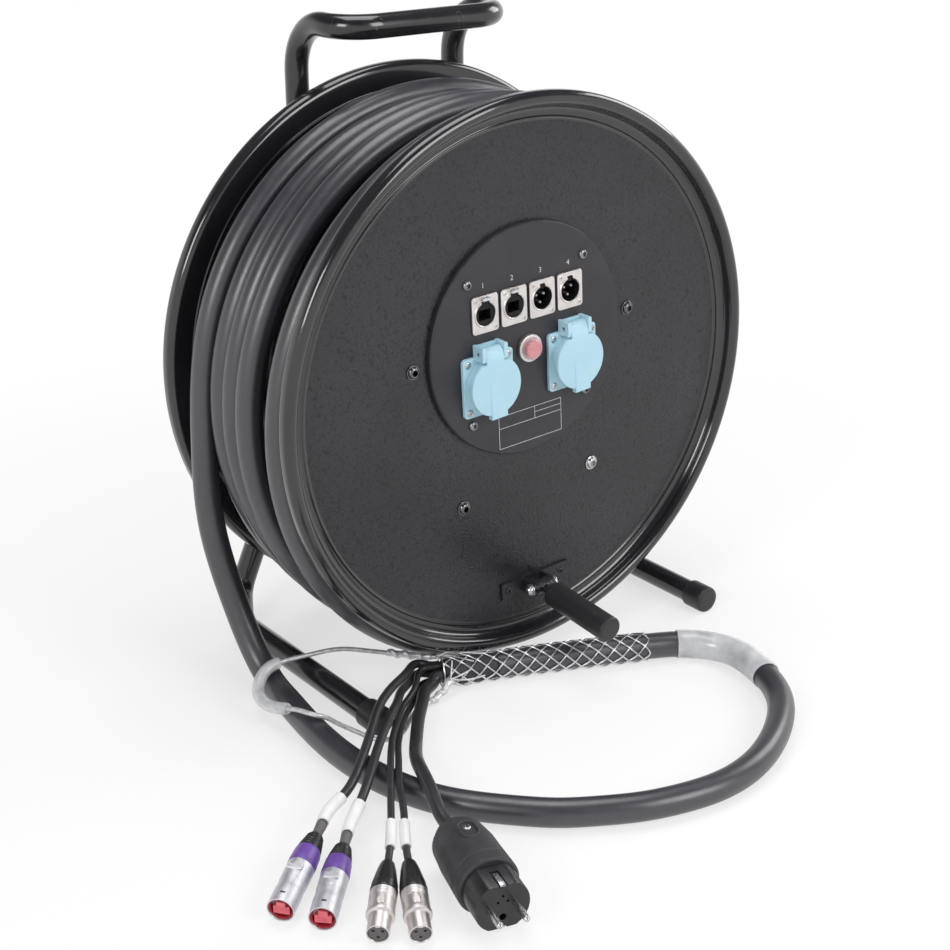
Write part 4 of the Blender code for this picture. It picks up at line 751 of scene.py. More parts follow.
class StudioOperator(Operator):
    """Camera, floor, lamps and the light all round"""

    bl_idname = "reel.studio"
    bl_label = "Studio"

    def execute(self, context):
        scene = context.scene
        scene.view_settings.view_transform = "Standard"
        camera = bpy.data.objects.new("camera", bpy.data.cameras.new("camera"))
        camera.location = CAMERA_PLACE
        camera.rotation_euler = np.radians(CAMERA_TURN)
        camera.data.lens = CAMERA_LENS
        camera.data.sensor_width = 36.0
        camera.data.clip_start = 0.05
        scene.collection.objects.link(camera)
        scene.camera = camera

        spread = 14.0
        mesh = bpy.data.meshes.new("floor")
        corners = [(x * spread, y * spread, -0.0002) for x, y in ((-1, -1), (1, -1), (1, 1), (-1, 1))]
        mesh.from_pydata(corners, [], [(0, 1, 2, 3)])
        floor = bpy.data.objects.new("floor", mesh)
        scene.collection.objects.link(floor)
        mesh.materials.append(self.floor_material())
        self.light_world(scene)
        for name, place, size, power in (
            ("front_lamp", (0.7, -2.4, 1.6), 1.3, 34.0),
            ("left_lamp", (-2.1, -0.7, 1.35), 0.8, 18.0),
            ("right_lamp", (2.0, -0.2, 1.3), 1.0, 16.0),
            ("top_lamp", (0.1, 0.2, 2.3), 1.4, 24.0),
        ):
            lamp = bpy.data.lights.new(name, "AREA")
            lamp.size = size
            lamp.energy = power
            obj = bpy.data.objects.new(name, lamp)
            aim = np.array((0.0, 0.0, 0.25)) - place
            obj.location = place
            obj.rotation_euler = (math.atan2(math.hypot(aim[0], aim[1]), -aim[2]), 0.0,
                                  math.atan2(-aim[0], aim[1]))
            scene.collection.objects.link(obj)
        return {"FINISHED"}

    @staticmethod
    def seen_directly(tree):
        """1 for camera, glossy and transmitted rays, and 0 for the rest."""
        path = tree.nodes.new("ShaderNodeLightPath").outputs
        pair = calc(tree, "MAXIMUM", path["Is Camera Ray"], path["Is Glossy Ray"])
        return calc(tree, "MAXIMUM", pair, path["Is Transmission Ray"])

    def floor_material(self):
        """Pale board that keeps the shadow near the object and runs out to plain white."""
        made, tree, shader = surface_material("pale_floor", Roughness=0.9, Specular_IOR_Level=0.0)
        where = object_place(tree)
        noise = node(tree, "TexNoise", Vector=where, Scale=3.0)
        fed(tree, shader["Base Color"], mixed(tree, noise, coloured((0.86,) * 3), coloured((0.88,) * 3)))
        far = node(tree, "VectorMath", where, out="Value", settings={"operation": "LENGTH"})
        share = mapped(tree, far, 0.25, 0.95, 0.66, 1.0, smooth=True)
        fade = calc(tree, "MULTIPLY", share, self.seen_directly(tree))
        white = node(tree, "Emission", (1, 1, 1, 1), 1.0)
        board = tree.nodes["Principled BSDF"].outputs[0]
        fed(tree, tree.nodes["Material Output"].inputs["Surface"], node(tree, "MixShader", fade, board, white))
        return made

    def light_world(self, scene):
        """Soft light all round; what is seen directly is white, and darker overhead for the reflections."""
        world = bpy.data.worlds.new("soft_light")
        world.use_nodes = True
        scene.world = world
        tree = world.node_tree
        soft = tree.nodes["Background"]
        soft.inputs["Color"].default_value = (0.96, 0.97, 1.0, 1)
        soft.inputs["Strength"].default_value = 0.30
        height = node(tree, "SeparateXYZ", node(tree, "TexCoord", out="Generated"), out="Z")
        share = mapped(tree, height, 0.12, 0.55, smooth=True)
        white = node(tree, "Background", mixed(tree, share, (1, 1, 1, 1), (0.10, 0.10, 0.11, 1)), 1.0)
        light = node(tree, "MixShader", self.seen_directly(tree), soft.outputs[0], white)
        fed(tree, tree.nodes["World Output"].inputs["Surface"], light)


class FinishesOperator(Operator):
    """The finishes, and those of the solids that show as they are"""

    bl_idname = "reel.finishes"
    bl_label = "Finishes"

    def execute(self, context):
        groups = {"mottle": mottle_group(), "grain": grain_group(), "hammered": hammered_group(),
                  "scuffs": scuff_group()}
        colours = context.scene.reel_colours
        paint, jacket, rubber, blue, violet, red = (
            np.array(colour) for colour in (colours.paint, colours.jacket, colours.rubber, colours.sockets,
                                            colours.collars, colours.button))
        grey = (0.35, 0.35, 0.36)
        metal = {"Metallic": 1.0}
        FINISHES["drum_paint"] = paint_material(
            "drum_paint", groups, paint, paint * 1.5, 520.0, 0.13, (0.24, 0.34)), "black_paint"
        # Name, slot, colour, other colour, patches' scale, roughness, grain's scale and depth, and what else
        for name, slot, *values, more in (
            ("rim_paint", "black_paint", paint * 0.7, paint, 14.0, (0.12, 0.2), 120.0, 0.004,
             {"Coat_Weight": 0.6, "Coat_Roughness": 0.06}),
            ("stand_paint", "black_paint", paint * 0.7, paint * 1.1, 14.0, (0.16, 0.26), 700.0, 0.06,
             {"scuffs": (25.0, 0.003, 0.35, grey), "Coat_Weight": 0.5, "Coat_Roughness": 0.08}),
            ("panel_paint", "black_paint", paint * 1.1, paint * 1.6, 25.0, (0.38, 0.48), 2200.0, 0.03, {}),
            ("jacket", "jacket", jacket, jacket * 1.35, 18.0, (0.34, 0.44), 1100.0, 0.04,
             {"coarse": 0.6, "scuffs": (38.0, 0.004, 0.3, (0.13, 0.13, 0.14)), "Specular_IOR_Level": 0.9,
              "Coat_Weight": 0.25, "Coat_Roughness": 0.22}),
            ("tail_rubber", "black_rubber", rubber, rubber * 1.5, 30.0, (0.34, 0.48), 1500.0, 0.04,
             {"scuffs": (60.0, 0.004, 0.3, (0.2, 0.2, 0.2))}),
            ("plug_rubber", "black_rubber", rubber * 1.3, rubber * 1.9, 40.0, (0.5, 0.66), 1800.0, 0.06,
             {"scuffs": (55.0, 0.004, 0.25, (0.16, 0.16, 0.16))}),
            ("neck_rubber", "black_rubber", (0.10, 0.09, 0.095), (0.14, 0.13, 0.135), 60.0, (0.5, 0.62), 2000.0,
             0.04, {}),
            ("black_plastic", "black_plastic", rubber * 0.7, rubber, 50.0, (0.26, 0.38), 2600.0, 0.03, {}),
            ("grip_plastic", "black_plastic", rubber * 0.8, rubber * 1.2, 22.0, (0.34, 0.46), 1600.0, 0.04,
             {"scuffs": (40.0, 0.003, 0.25, grey)}),
            ("socket_black", "black_plastic", rubber * 0.25, rubber * 0.4, 80.0, (0.5, 0.62), 2600.0, 0.02,
             {"Specular_IOR_Level": 0.25}),
            ("zinc", "steel", (0.62, 0.62, 0.63), (0.5, 0.5, 0.52), 120.0, (0.2, 0.38), 3000.0, 0.02, metal),
            ("dark_steel", "steel", (0.12, 0.12, 0.125), (0.2, 0.2, 0.205), 200.0, (0.2, 0.34), 3000.0, 0.02, metal),
            ("worn_steel", "steel", (0.34, 0.33, 0.34), (0.22, 0.22, 0.225), 200.0, (0.24, 0.4), 3000.0, 0.02,
             metal),
            ("gold", "steel", (0.85, 0.62, 0.28), (0.7, 0.5, 0.22), 200.0, (0.2, 0.3), 4000.0, 0.01, metal),
            ("nickel", "nickel", (0.74, 0.70, 0.68), (0.64, 0.605, 0.59), 90.0, (0.36, 0.5), 3500.0, 0.03,
             {"scuffs": (90.0, 0.006, 0.4, (0.42, 0.4, 0.4)), **metal}),
            ("bright_shell", "nickel", (0.71, 0.71, 0.74), (0.60, 0.60, 0.63), 110.0, (0.42, 0.58), 3200.0, 0.04,
             {"scuffs": (120.0, 0.008, 0.3, (0.45, 0.46, 0.48)), **metal}),
            ("print", "nickel", (0.62, 0.62, 0.62), (0.5, 0.5, 0.5), 300.0, (0.5, 0.6), 3000.0, 0.01, {}),
            ("blue_plastic", "blue_plastic", blue, blue * (0.93, 0.96, 0.98), 35.0, (0.28, 0.4), 2600.0, 0.02,
             {"scuffs": (70.0, 0.003, 0.25, (0.75, 0.85, 0.92))}),
            ("violet_plastic", "blue_plastic", violet, violet * 1.25, 70.0, (0.34, 0.46), 2600.0, 0.02, {}),
            ("red_plastic", "red_plastic", red, red * 0.85, 80.0, (0.26, 0.36), 2600.0, 0.02, {}),
            ("insert_red", "red_plastic", (0.80, 0.16, 0.19), (0.66, 0.10, 0.13), 160.0, (0.3, 0.42), 2600.0, 0.02,
             {}),
            ("rim_red", "red_plastic", red * (0.5, 0.3, 0.4), red * 0.3, 160.0, (0.3, 0.42), 2600.0, 0.02, {}),
            ("white_shrink", "clear_plastic", (0.84, 0.84, 0.84), (0.76, 0.76, 0.77), 80.0, (0.42, 0.55), 900.0,
             0.10, {"coarse": 0.7}),
            ("wire", "wire", (0.86, 0.86, 0.87), (0.66, 0.66, 0.68), 150.0, (0.22, 0.4), 4000.0, 0.02, metal),
            ("rope_steel", "wire", (0.82, 0.82, 0.83), (0.60, 0.60, 0.62), 260.0, (0.34, 0.5), 2600.0, 0.03,
             {"Metallic": 0.45}),
        ):
            FINISHES[name] = finish_material(name, groups, *values, **more), slot
        for name, colour, alpha, rough, coat in (
            ("clear_plastic", (0.86, 0.87, 0.89), (0.42, 0.72), (0.16, 0.3), 0.6),
            ("clear_boot", (0.93, 0.62, 0.65), (0.20, 0.34), (0.16, 0.26), 0.15),
        ):
            FINISHES[name] = clear_material(name, groups, colour, alpha, rough, coat), "clear_plastic"
        for finish, names in NODE_FINISHES.items():
            for name in names:
                materials = frame["nodes"][name].data.materials
                materials.clear()
                materials.append(FINISHES[finish][0])
        return {"FINISHED"}


# Cables

def eased(value):
    value = np.clip(value, 0.0, 1.0)
    return value * value * (3 - 2 * value)


def winding_line(lanes, turns, per_turn=120, dive=False):
    """A line wound in lanes, in the drum's own frame: x and z by cosine and sine of the turn's angle, the depth
    and radius those of the lane, easing to the next lane's in the last part of a turn. With dive the line comes
    up from the layer below at its start and goes down to it at its end."""
    start = (HEAD_DIVE_START - WINDING_START) / (2 * math.pi) if dive else 0
    count = np.linspace(start, turns, round((turns - start) * per_turn) + 1)
    lane = np.minimum(count.astype(int), len(lanes) - 1)
    angle = WINDING_START + (count - lane) * 2 * math.pi
    after = np.minimum(lane + 1, len(lanes) - 1)
    share = eased((angle - LANE_CHANGE_START) / (WINDING_START + 2 * math.pi - LANE_CHANGE_START))[:, None]
    depth, radius = (lanes[lane] + share * (lanes[after] - lanes[lane])).T
    if dive:
        first, last = lane == 0, lane == len(lanes) - 1
        low = 1 - eased((angle - HEAD_DIVE_START) / HEAD_DIVE_SPAN)
        radius = radius + first * low * (UNDER_LANES[0, 1] - radius)
        radius = radius + last * eased((angle - TAIL_DIVE_START) / TAIL_DIVE_SPAN) * (TAIL_RADIUS - radius)
    return depth, radius, angle


def outer_line():
    """The outer layer's turns, the last of them an eighth short."""
    depth, radius, angle = winding_line(LANES, len(LANES) - 0.125, dive=True)
    return on_drum(np.column_stack([radius * np.cos(angle), depth, radius * np.sin(angle) - LANE_SAG]))


def under_line():
    """The layer below, seen between the outer turns. It sags with them up to the groove at the back."""
    depth, radius, angle = winding_line(UNDER_LANES, len(UNDER_LANES) - 0.1, 96)
    sag = LANE_SAG * (1 - eased((depth - SAG_EASE_START) / SAG_EASE_SPAN))
    return on_drum(np.column_stack([radius * np.cos(angle), depth, radius * np.sin(angle) - sag]))


def standing_points():
    """The turn that stands still, from behind the drum's underside over its top."""
    angle = np.arange(STANDING_FROM, STANDING_TO, PART_OF_TURN)
    share = eased((angle - STANDING_FROM) / STANDING_EASE)
    depth = STANDING_START[0] + share * (STANDING_LANE[0] - STANDING_START[0])
    radius = STANDING_START[1] + share * (STANDING_LANE[1] - STANDING_START[1])
    return np.column_stack([radius * np.cos(angle), depth, radius * np.sin(angle) - share * STANDING_SAG + AXLE_HEIGHT])


def free_line(spacing=0.005):
    own = np.vstack([standing_points(), MM * np.array(FREE_ROUTE)])
    return smooth_route(own, spacing) + [0, REEL_Y, 0]


def boot_line(route):
    """The splitter boot's axis, from just past the cable's end."""
    heading = unit(route[-1] - route[-2])
    return route[-1] + np.array([END_GAP, SPLITTER_LENGTH])[:, None] * heading, heading


def tail_line(tail, boot_end, heading, spacing=0.003):
    """A tail's way from the boot to its connector, with the connector's front and its direction back."""
    _, kind, (across, up), own_points, front, direction = tail
    sideways = np.array([-heading[1], heading[0], 0.0])
    back = unit(direction)
    front = MM * np.array(front) + [0, REEL_Y, 0]
    start = boot_end + MM * (across * sideways + up * np.array([0.0, 0.0, 1.0])) + heading * END_GAP
    end = front + back * (TAIL_SIZES[kind][1] + END_GAP)
    own = np.vstack([start, start + heading * TAIL_LEAD, MM * np.array(own_points) + [0, REEL_Y, 0],
                     end + back * 2 * TAIL_LEAD, end])
    return smooth_route(own, spacing), front, back


class CableOperator(Operator):
    """The cable: the turns on the drum, the layer below them and the free length over the floor"""

    bl_idname = "reel.cable"
    bl_label = "Cable"

    def execute(self, context):
        radius = context.scene.reel_sizes.cable_radius
        line = outer_line()
        winding = make("winding", [tube(*softened(line, radius), sides=28)], "jacket", "drum", ["cable_winding"])
        line = under_line()
        under = make("winding_below", [tube(*softened(line, radius - 0.0001), sides=14)], "jacket", "drum",
                     ["cable_pack"])
        line = free_line()
        free = make("cable", [tube(line, radius, 32)], "jacket", "stand", ["cable_free"])
        boot, _ = boot_line(line)
        share = np.array([0.0, 0.03, 0.12, 0.3, 0.6, 0.9, 0.97, 1.0])
        widths = MM * np.array([10.0, 10.9, 11.1, 11.3, 11.3, 11.2, 10.6, 9.4])
        path = boot[0] + share[:, None] * (boot[1] - boot[0])
        splitter = make("splitter", [tube(path, widths, 32)], "plug_rubber", "stand", ["splitter_boot"])
        grip = self.pulling_grip(context, line, boot)
        sleeve = self.clear_sleeve(line, radius)
        return {"FINISHED"}

    @staticmethod
    def pulling_grip(context, line, boot):
        """Wires crossing round the cable. Each turns by 2 pi / pitch times the root of (distance squared + 6 mm
        times distance), so that it sets out straight across and pairs of wires close in round loops. One half
        turns left and one right, and the radius swings by the wire's own at each crossing."""
        sizes = context.scene.reel_sizes
        wire, strands, pitch = sizes.mesh_wire, sizes.mesh_strands, sizes.mesh_pitch
        path = resampled(np.vstack([stretch(line, *GRIP_STRETCH), boot]), 0.0012)
        tangent, side, top = frames_along(path)
        far = walked(path)
        total = far[-1]
        base = np.interp(far, [0, 0.004, total - 0.03, total], [0.0119, 0.0122, 0.0123, 0.0123])
        wound = 2 * math.pi / pitch * np.sqrt(far**2 + 0.006 * far)
        shells = []
        ring = 2 * math.pi * np.arange(6) / 6
        for way in (-1, 1):
            for strand in range(strands):
                angle = 2 * math.pi * strand / strands + way * wound
                reach = base + way * 0.55 * wire * np.cos(strands * angle)
                radial = np.cos(angle)[:, None] * side + np.sin(angle)[:, None] * top
                centre = path + reach[:, None] * radial
                run = unit(np.gradient(centre, axis=0))
                across = unit(np.cross(run, radial))
                up = np.cross(across, run)
                grid = (centre[:, None] + wire * (np.cos(ring)[None, :, None] * across[:, None]
                                                  + np.sin(ring)[None, :, None] * up[:, None]))
                shells.append(shell(grid))
        round_it = np.linspace(0, 2 * math.pi, 40, endpoint=False)[:, None]
        outward = np.cos(round_it) * side[-1] + np.sin(round_it) * top[-1]
        hoop = path[-1] + base[-1] * outward
        shells.append(shell(hoop[:, None] + wire * (np.cos(ring)[None, :, None] * outward[:, None]
                                                    + np.sin(ring)[None, :, None] * tangent[-1]), loop=True))
        return make("grip_mesh", shells, "wire", "stand", ["pulling_grip"])

    @staticmethod
    def clear_sleeve(line, radius):
        """A tube over the cable, looser by a slow wave round and along it, and open at both ends."""
        def loose(far, angle):
            return 1 + 0.014 * np.sin(3 * angle + 60 * far) * np.sin(45 * far + 1) + 0.010 * np.sin(angle - 20 * far)

        path = stretch(line, *SLEEVE_STRETCH) + [0, 0, SLEEVE_LIFT]
        skin = hose(path, radius + SLEEVE_OUTSIDE, radius + SLEEVE_INSIDE, 40, loose)
        return make("loose_sleeve", [skin], "clear_plastic", "stand", ["clear_sleeve"])


def gathered_wire(start, angle, back):
    """A wire from a splice to the pulling grip: a bowed line to the cable's skin, at an angle round the boot's
    axis and a distance back from the boot's end."""
    boot, heading = boot_line(free_line())
    side = unit(np.cross(heading, (0.0, 0.0, 1.0)))
    outward = math.cos(angle) * side + math.sin(angle) * np.cross(side, heading)
    end = boot[1] - heading * back + GATHERED_REACH * outward
    return smooth_route([start, (start + end) / 2 + 0.0030 * outward, end], 0.002)


class RopeOperator(Operator):
    """The wire rope eye, its two spliced ends and the clear tube where it bears"""

    bl_idname = "reel.rope"
    bl_label = "Wire rope"

    def execute(self, context):
        radius = context.scene.reel_sizes.rope_radius
        line = smooth_route(MM * np.array(ROPE_ROUTE), 0.0012) + [0, REEL_Y, 0]

        def stranded(far, angle):
            """Six lobes that turn with the distance along the rope, once in 16 mm."""
            return 1 - 0.42 * (1 - np.abs(np.cos(3 * (angle - 2 * math.pi * far / 0.016))))

        def coiled(far, angle):
            return 1 + 0.42 * np.maximum(0, np.sin(2 * math.pi * far / 0.0115 + angle))

        rope = make("rope", [tube(line, radius, 24, stranded)], "rope_steel", "stand", ["wire_rope"], sharp=60)
        start = walked(line)[-1] - 0.004
        parts = stretch(line, start, start - SPLICE_LENGTH), stretch(line, SPLICE_LENGTH + 0.001, 0.001)
        splices = [tube(*softened(resampled(part, 0.0008), SPLICE_RADIUS, 0.0006), sides=20, shape=coiled)
                   for part in parts]
        for point, wires in zip((line[0], line[-1]), GATHERED_WIRES):
            splices += [tube(gathered_wire(point, math.radians(angle), back), GATHERED_RADIUS, 6)
                        for angle, back in wires]
        splice = make("rope_splices", splices, "rope_steel", "stand", sharp=60)
        path = stretch(line, *THIMBLE_STRETCH)
        reach = np.interp(walked(path), [0, 0.002, 0.076, 0.079],
                          [THIMBLE_END, THIMBLE_RADIUS, THIMBLE_RADIUS, THIMBLE_END])
        eye = make("rope_tube", [hose(path, reach, THIMBLE_BORE, 20)], "clear_plastic", "stand", ["thimble"])
        return {"FINISHED"}


# Tails and connectors

def three_about(place, radius):
    """Three places in the corners of a triangle about a place's axis."""
    return [shifted(place, radius * math.cos(angle), 0, radius * math.sin(angle))
            for angle in np.radians((30, 150, 270))]


def contact_strip(thickness, way, steps, place):
    """A strip bent in and out: pairs of its distance from the axis and its height."""
    outline = rounded_rectangle(4, thickness, 0.2, 16)
    return stacked([(outline + [0, way * lift], height) for lift, height in steps], place)


def data_connector(name, place):
    """A data connector: ribbed boot, coloured collar, metal shell and a red insert in its mouth."""
    def crowned(height, angle):
        return 1 + 0.012 * np.clip((height - 31) / 9, 0, 1) * np.cos(3 * angle + 0.6)

    def fluted(height, angle):
        return 1 - 0.018 * np.maximum(0, np.cos(4 * angle)) ** 6

    steps = np.linspace(57.5, 73.5, 72)
    ribs = 0.6 * np.sqrt(np.maximum(0, np.sin(2 * math.pi * (steps - 57.5) / 2.7)))
    boot = np.column_stack([np.interp(steps, [57.5, 62.0, 73.5], [8.4, 7.8, 5.4]) + ribs, steps])
    shield = np.array([(-5.2, 4), (-5.2, -1), (-1.8, -1), (0, -4.4), (1.8, -1), (5.2, -1), (5.2, 4), (0, 4.6)])
    return [
        lathe(f"{name}_shell", [
            (0.5, 5.5), (8.8, 5.5), (8.8, 0.6), (9.1, 0, 0.2), (9.8, 0, 0.4), (9.8, 16.5, 0.4), (9.5, 17.2, 0.4),
            (9.5, 24.5, 0.3), (9.8, 25.2, 0.3), (9.8, 41.5, 0.5), (8.5, 42.5), (0.5, 42.5),
        ], place, "bright_shell", "stand", [name], 64, crowned),
        lathe(f"{name}_collar", [(4, 40.5), (9.9, 41, 0.4), (10.1, 45.5, 1), (9.4, 56, 1), (8.8, 58, 0.5), (4, 58.2)],
              place, "violet_plastic", "stand", sides=64, shape=fluted),
        lathe(f"{name}_boot", [(3, 57.5), *boot, (3.8, 74.2)], place, "black_plastic", "stand"),
        lathe(f"{name}_neck", [(3, 73.5), (3.7, 73.5), (3.7, 80, 2), (4.1, 86.8, 0.6), (3.6, 88)], place,
              "neck_rubber", "stand", sides=32),
        lathe(f"{name}_mouth", [(7.4, 5.4), (8.7, 5.4), (8.7, 1.2, 0.2), (7.8, 1.2, 0.3), (7.4, 2)], place,
              "rim_red", "stand", loop=True),
        make(f"{name}_insert", [block(11.8, 6.2, 0.8, 1.8, 5.4, place, 0.3, (0, -1.8)),
                                block(6.6, 4.2, 0.8, 1.4, 5.4, place, 0.3, (0, 3))], "insert_red", "stand"),
        make(f"{name}_window", [block(3.4, 1.6, 0.3, 0, 1.3, facing_up(place, 0, 7.5, 8.7), 0.2, sides=24)],
             "black_plastic", "stand"),
        make(f"{name}_shield", [bevelled(shield, 0, 2.2, facing_up(place, 0, 34.5, 8.3), 0.4)], "bright_shell",
             "stand"),
    ]


def audio_connector(name, place):
    """An audio connector: tapered boot, satin shell with its latch, bright nose and three contacts."""
    def facets(height, angle):
        middle = np.clip(1 - np.abs(height - 50) / 9, 0, 1)
        return 1 - 0.09 * middle * np.maximum(0, np.cos(2 * (angle - math.pi / 2))) ** 2

    pieces = [
        lathe(f"{name}_shell", [
            (0.5, 3), (6.8, 3), (6.8, 0.5), (7.1, 0, 0.2), (7.8, 0, 0.3), (7.8, 14.5, 0.6), (9.6, 15.2, 0.4),
            (9.9, 16.5, 0.4), (9.9, 18, 0.4), (9.4, 18.8, 0.3), (9.4, 29.2, 0.2), (9.2, 29.6), (9.5, 30.1),
            (9.5, 31.7), (9.2, 32.1), (9.5, 32.6), (9.5, 34.2), (9.2, 34.6), (9.5, 35.1), (9.5, 36.6, 0.3),
            (6, 36.8), (0.5, 36.8),
        ], place, "nickel", "stand", [name], 64),
        lathe(f"{name}_boot", [
            (4, 36.4), (9.3, 36.6, 0.4), (9.6, 38, 0.5), (9.6, 39.8, 0.3), (9.2, 40.2, 0.3), (9.2, 44, 2),
            (6.6, 59, 4), (5, 65.2, 2), (3.6, 66.8, 0.5), (2.7, 68), (2, 68),
        ], place, "black_plastic", "stand", shape=facets),
    ]
    face = make(f"{name}_face", [stacked([(6.7, 3), (6.7, 1.4), (6.4, 1.1)], place)], "neck_rubber", "stand")
    pieces.append(cut(face, [pillar(circle(1.2, 16), 0, 2.6, spot) for spot in three_about(place, 3.6)]))
    pieces.append(make(f"{name}_key", [block(3.4, 1.8, 0.4, 0.4, 6, place, 0.2, (0, 6.2), 24)], "nickel", "stand"))
    spot = facing_up(place, 0, 21.8, 8.9)
    latch = [block(5.2, 6.2, 2, 0, 1.8, spot, 0.5), block(2.6, 10, 1, 0, 1.1, spot, 0.3, (0, -3))]
    pieces.append(make(f"{name}_latch", latch, "nickel", "stand"))
    return pieces


def power_plug(name, place):
    """A plug: soft body with shoulders and a screwed pad, hard face, two pins and two earth strips."""
    def gripped(height, angle):
        near = np.clip(1 - np.abs(height - 50) / 12, 0, 1)
        side = np.maximum(0, np.abs(np.cos(angle)) - 0.86) / 0.14
        return 1 - 0.06 * near * side * (0.6 + 0.4 * np.sign(np.sin(1.6 * height)))

    pieces = [lathe(f"{name}_body", [
        (5, 79), (8.5, 80, 1), (13, 79, 3), (19.5, 69, 8), (21.8, 52, 6), (22, 40, 1), (22.4, 26, 1),
        (21.7, 25.2, 0.4), (21.7, 23.4, 0.4), (22.6, 22.6, 1), (22.6, 15, 1.6), (21, 13.6, 1), (15, 13.6),
    ], place, "plug_rubber", "stand", [name], 96, gripped, steps=6)]
    place = shifted(place, 0, -9)
    flat = circle(19.8, 64)
    flat[:, 1] = np.clip(flat[:, 1], -17.2, 17.2)
    front = stacked([(flat * 0.93, 24), (flat, 23.5), (flat, 0.6), (flat * 0.985, 0)], place)
    face = make(f"{name}_face", [front], "black_plastic", "stand")
    slots = [pillar(circle(2.6, 24, (0, -8)), -1, 10, place)]
    slots += [pillar(rounded_rectangle(1.8, 1.8, 0.4, 16) + spot, -1, 3, place)
              for spot in ((0, 8.5), (-3.5, 4), (3.5, 4))]
    slots += [pillar(rounded_rectangle(6.2, 3, 0.8, 24) + [0, way * 17.2], -1, 16, place) for way in (-1, 1)]
    pieces.append(cut(face, slots))
    pins = []
    for way in (-1, 1):
        pin = filleted([(0.4, 4), (2.4, 4), (2.4, -17.2, 1.6), (1, -19, 0.8), (0.2, -19)])
        pins.append(lathed(pin, shifted(place, way * 9.5), 32))
        pins.append(contact_strip(0.6, way, ((16.4, 0.2), (17, 1), (17.2, 6), (16.8, 12), (16.2, 15)), place))
    pieces.append(make(f"{name}_pins", pins, "zinc", "stand"))
    pad = [(rounded_rectangle(15 - 2 * inset, 20 - 2 * inset, 7 - inset, 48), height)
           for inset, height in ((0, 0), (0.2, 3), (1.2, 3.8), (2.2, 3.2), (2.4, 2.2), (2.4, 2.2))]
    pieces.append(make(f"{name}_pad", [stacked(pad, facing_up(place, 0, 60, 19))], "plug_rubber", "stand"))
    pieces.append(make(f"{name}_screw", [screw(facing_up(place, 0, 62, 21.2), 2.8, 1.4, "cross", 0.5)], "zinc",
                       "stand"))
    return pieces


class TailsOperator(Operator):
    """The five tails with their white sleeves and connectors"""

    bl_idname = "reel.tails"
    bl_label = "Tails"

    def execute(self, context):
        def wavy(far, angle):
            return 1 + 0.03 * np.sin(130 * far + 2 * angle)

        boot, heading = boot_line(free_line())
        makers = {"cat": data_connector, "audio": audio_connector, "power": power_plug}
        for tail in TAILS:
            name, kind = tail[:2]
            radius = TAIL_SIZES[kind][0]
            route, front, back = tail_line(tail, boot[1], heading)
            cord = make(name.replace("tail", "lead"), [tube(route, radius, 20)], "tail_rubber", "stand", [name])
            pieces = makers[kind](name.replace("tail", "connector"), lying(front, back))
            if kind in TAIL_SLEEVES:
                path = resampled(stretch(route, *TAIL_SLEEVES[kind]), 0.002)
                sleeve = tube(*softened(path, radius + TAIL_SLEEVE_WALL, 0.0005), shape=wavy)
                pieces.append(make(name.replace("tail", "sleeve"), [sleeve], "white_shrink", "stand"))
        return {"FINISHED"}


# Drum and stand

def arc(centre, radius, start, stop, steps):
    return [(centre[0] + radius * math.cos(a), centre[1] + radius * math.sin(a))
            for a in np.radians(np.linspace(start, stop, steps + 1))]


def drum_rings(section, side):
    """Rings (outline, depth) of the drum's front or back, in metres."""
    return on_drum(np.array([np.column_stack([outline[:, 0], np.full(len(outline), side * depth), outline[:, 1]])
                             for outline, depth in section]))


def disc_grid(side, opening, hub=()):
    """Circles round the disc's section, from its opening over both faces."""
    section = [(RIM_START, FLANGE_FACE), (RIM_START, INNER_FACE), *hub]
    rings = [(opening, FLANGE_FACE), *((circle(radius, len(opening)), depth) for radius, depth in section)]
    if not hub:
        rings.append((opening, INNER_FACE))
    return drum_rings(rings, side)


def rim_grid(side, sides):
    """Circles round the rim's section: a pressed ridge, whose height falls off as exp(-(distance / width)^2),
    the fillet, the roll and the inner face with a ridge of its own at the back."""
    roll = FLANGE_RADIUS - RIM_ROLL
    fillet = RIM_STAND_OUT - RIM_ROLL
    top = FLANGE_FACE + fillet
    offsets = np.linspace(-RIDGE_HALF, RIDGE_HALF, 17)
    bump = np.exp(-(offsets / RIDGE_WIDTH) ** 2) - math.exp(-(RIDGE_HALF / RIDGE_WIDTH) ** 2)
    ridge = [(RIDGE_RADIUS + o, FLANGE_FACE + RIDGE_HEIGHT * h) for o, h in zip(offsets, bump)]
    inner = [(RIDGE_RADIUS + o, INNER_FACE - RIDGE_HEIGHT * h) for o, h in zip(offsets[::-1], bump)]
    section = [
        *ridge, *arc((roll - RIM_ROLL - fillet, top), fillet, -90, 0, 10)[1:],
        *arc((roll, top), RIM_ROLL, 180, 0, 20)[1:], *arc((roll, INNER_FACE + RIM_ROLL), RIM_ROLL, 0, -90, 8), *inner,
    ]
    return drum_rings([(circle(radius, sides), depth) for radius, depth in section], side)


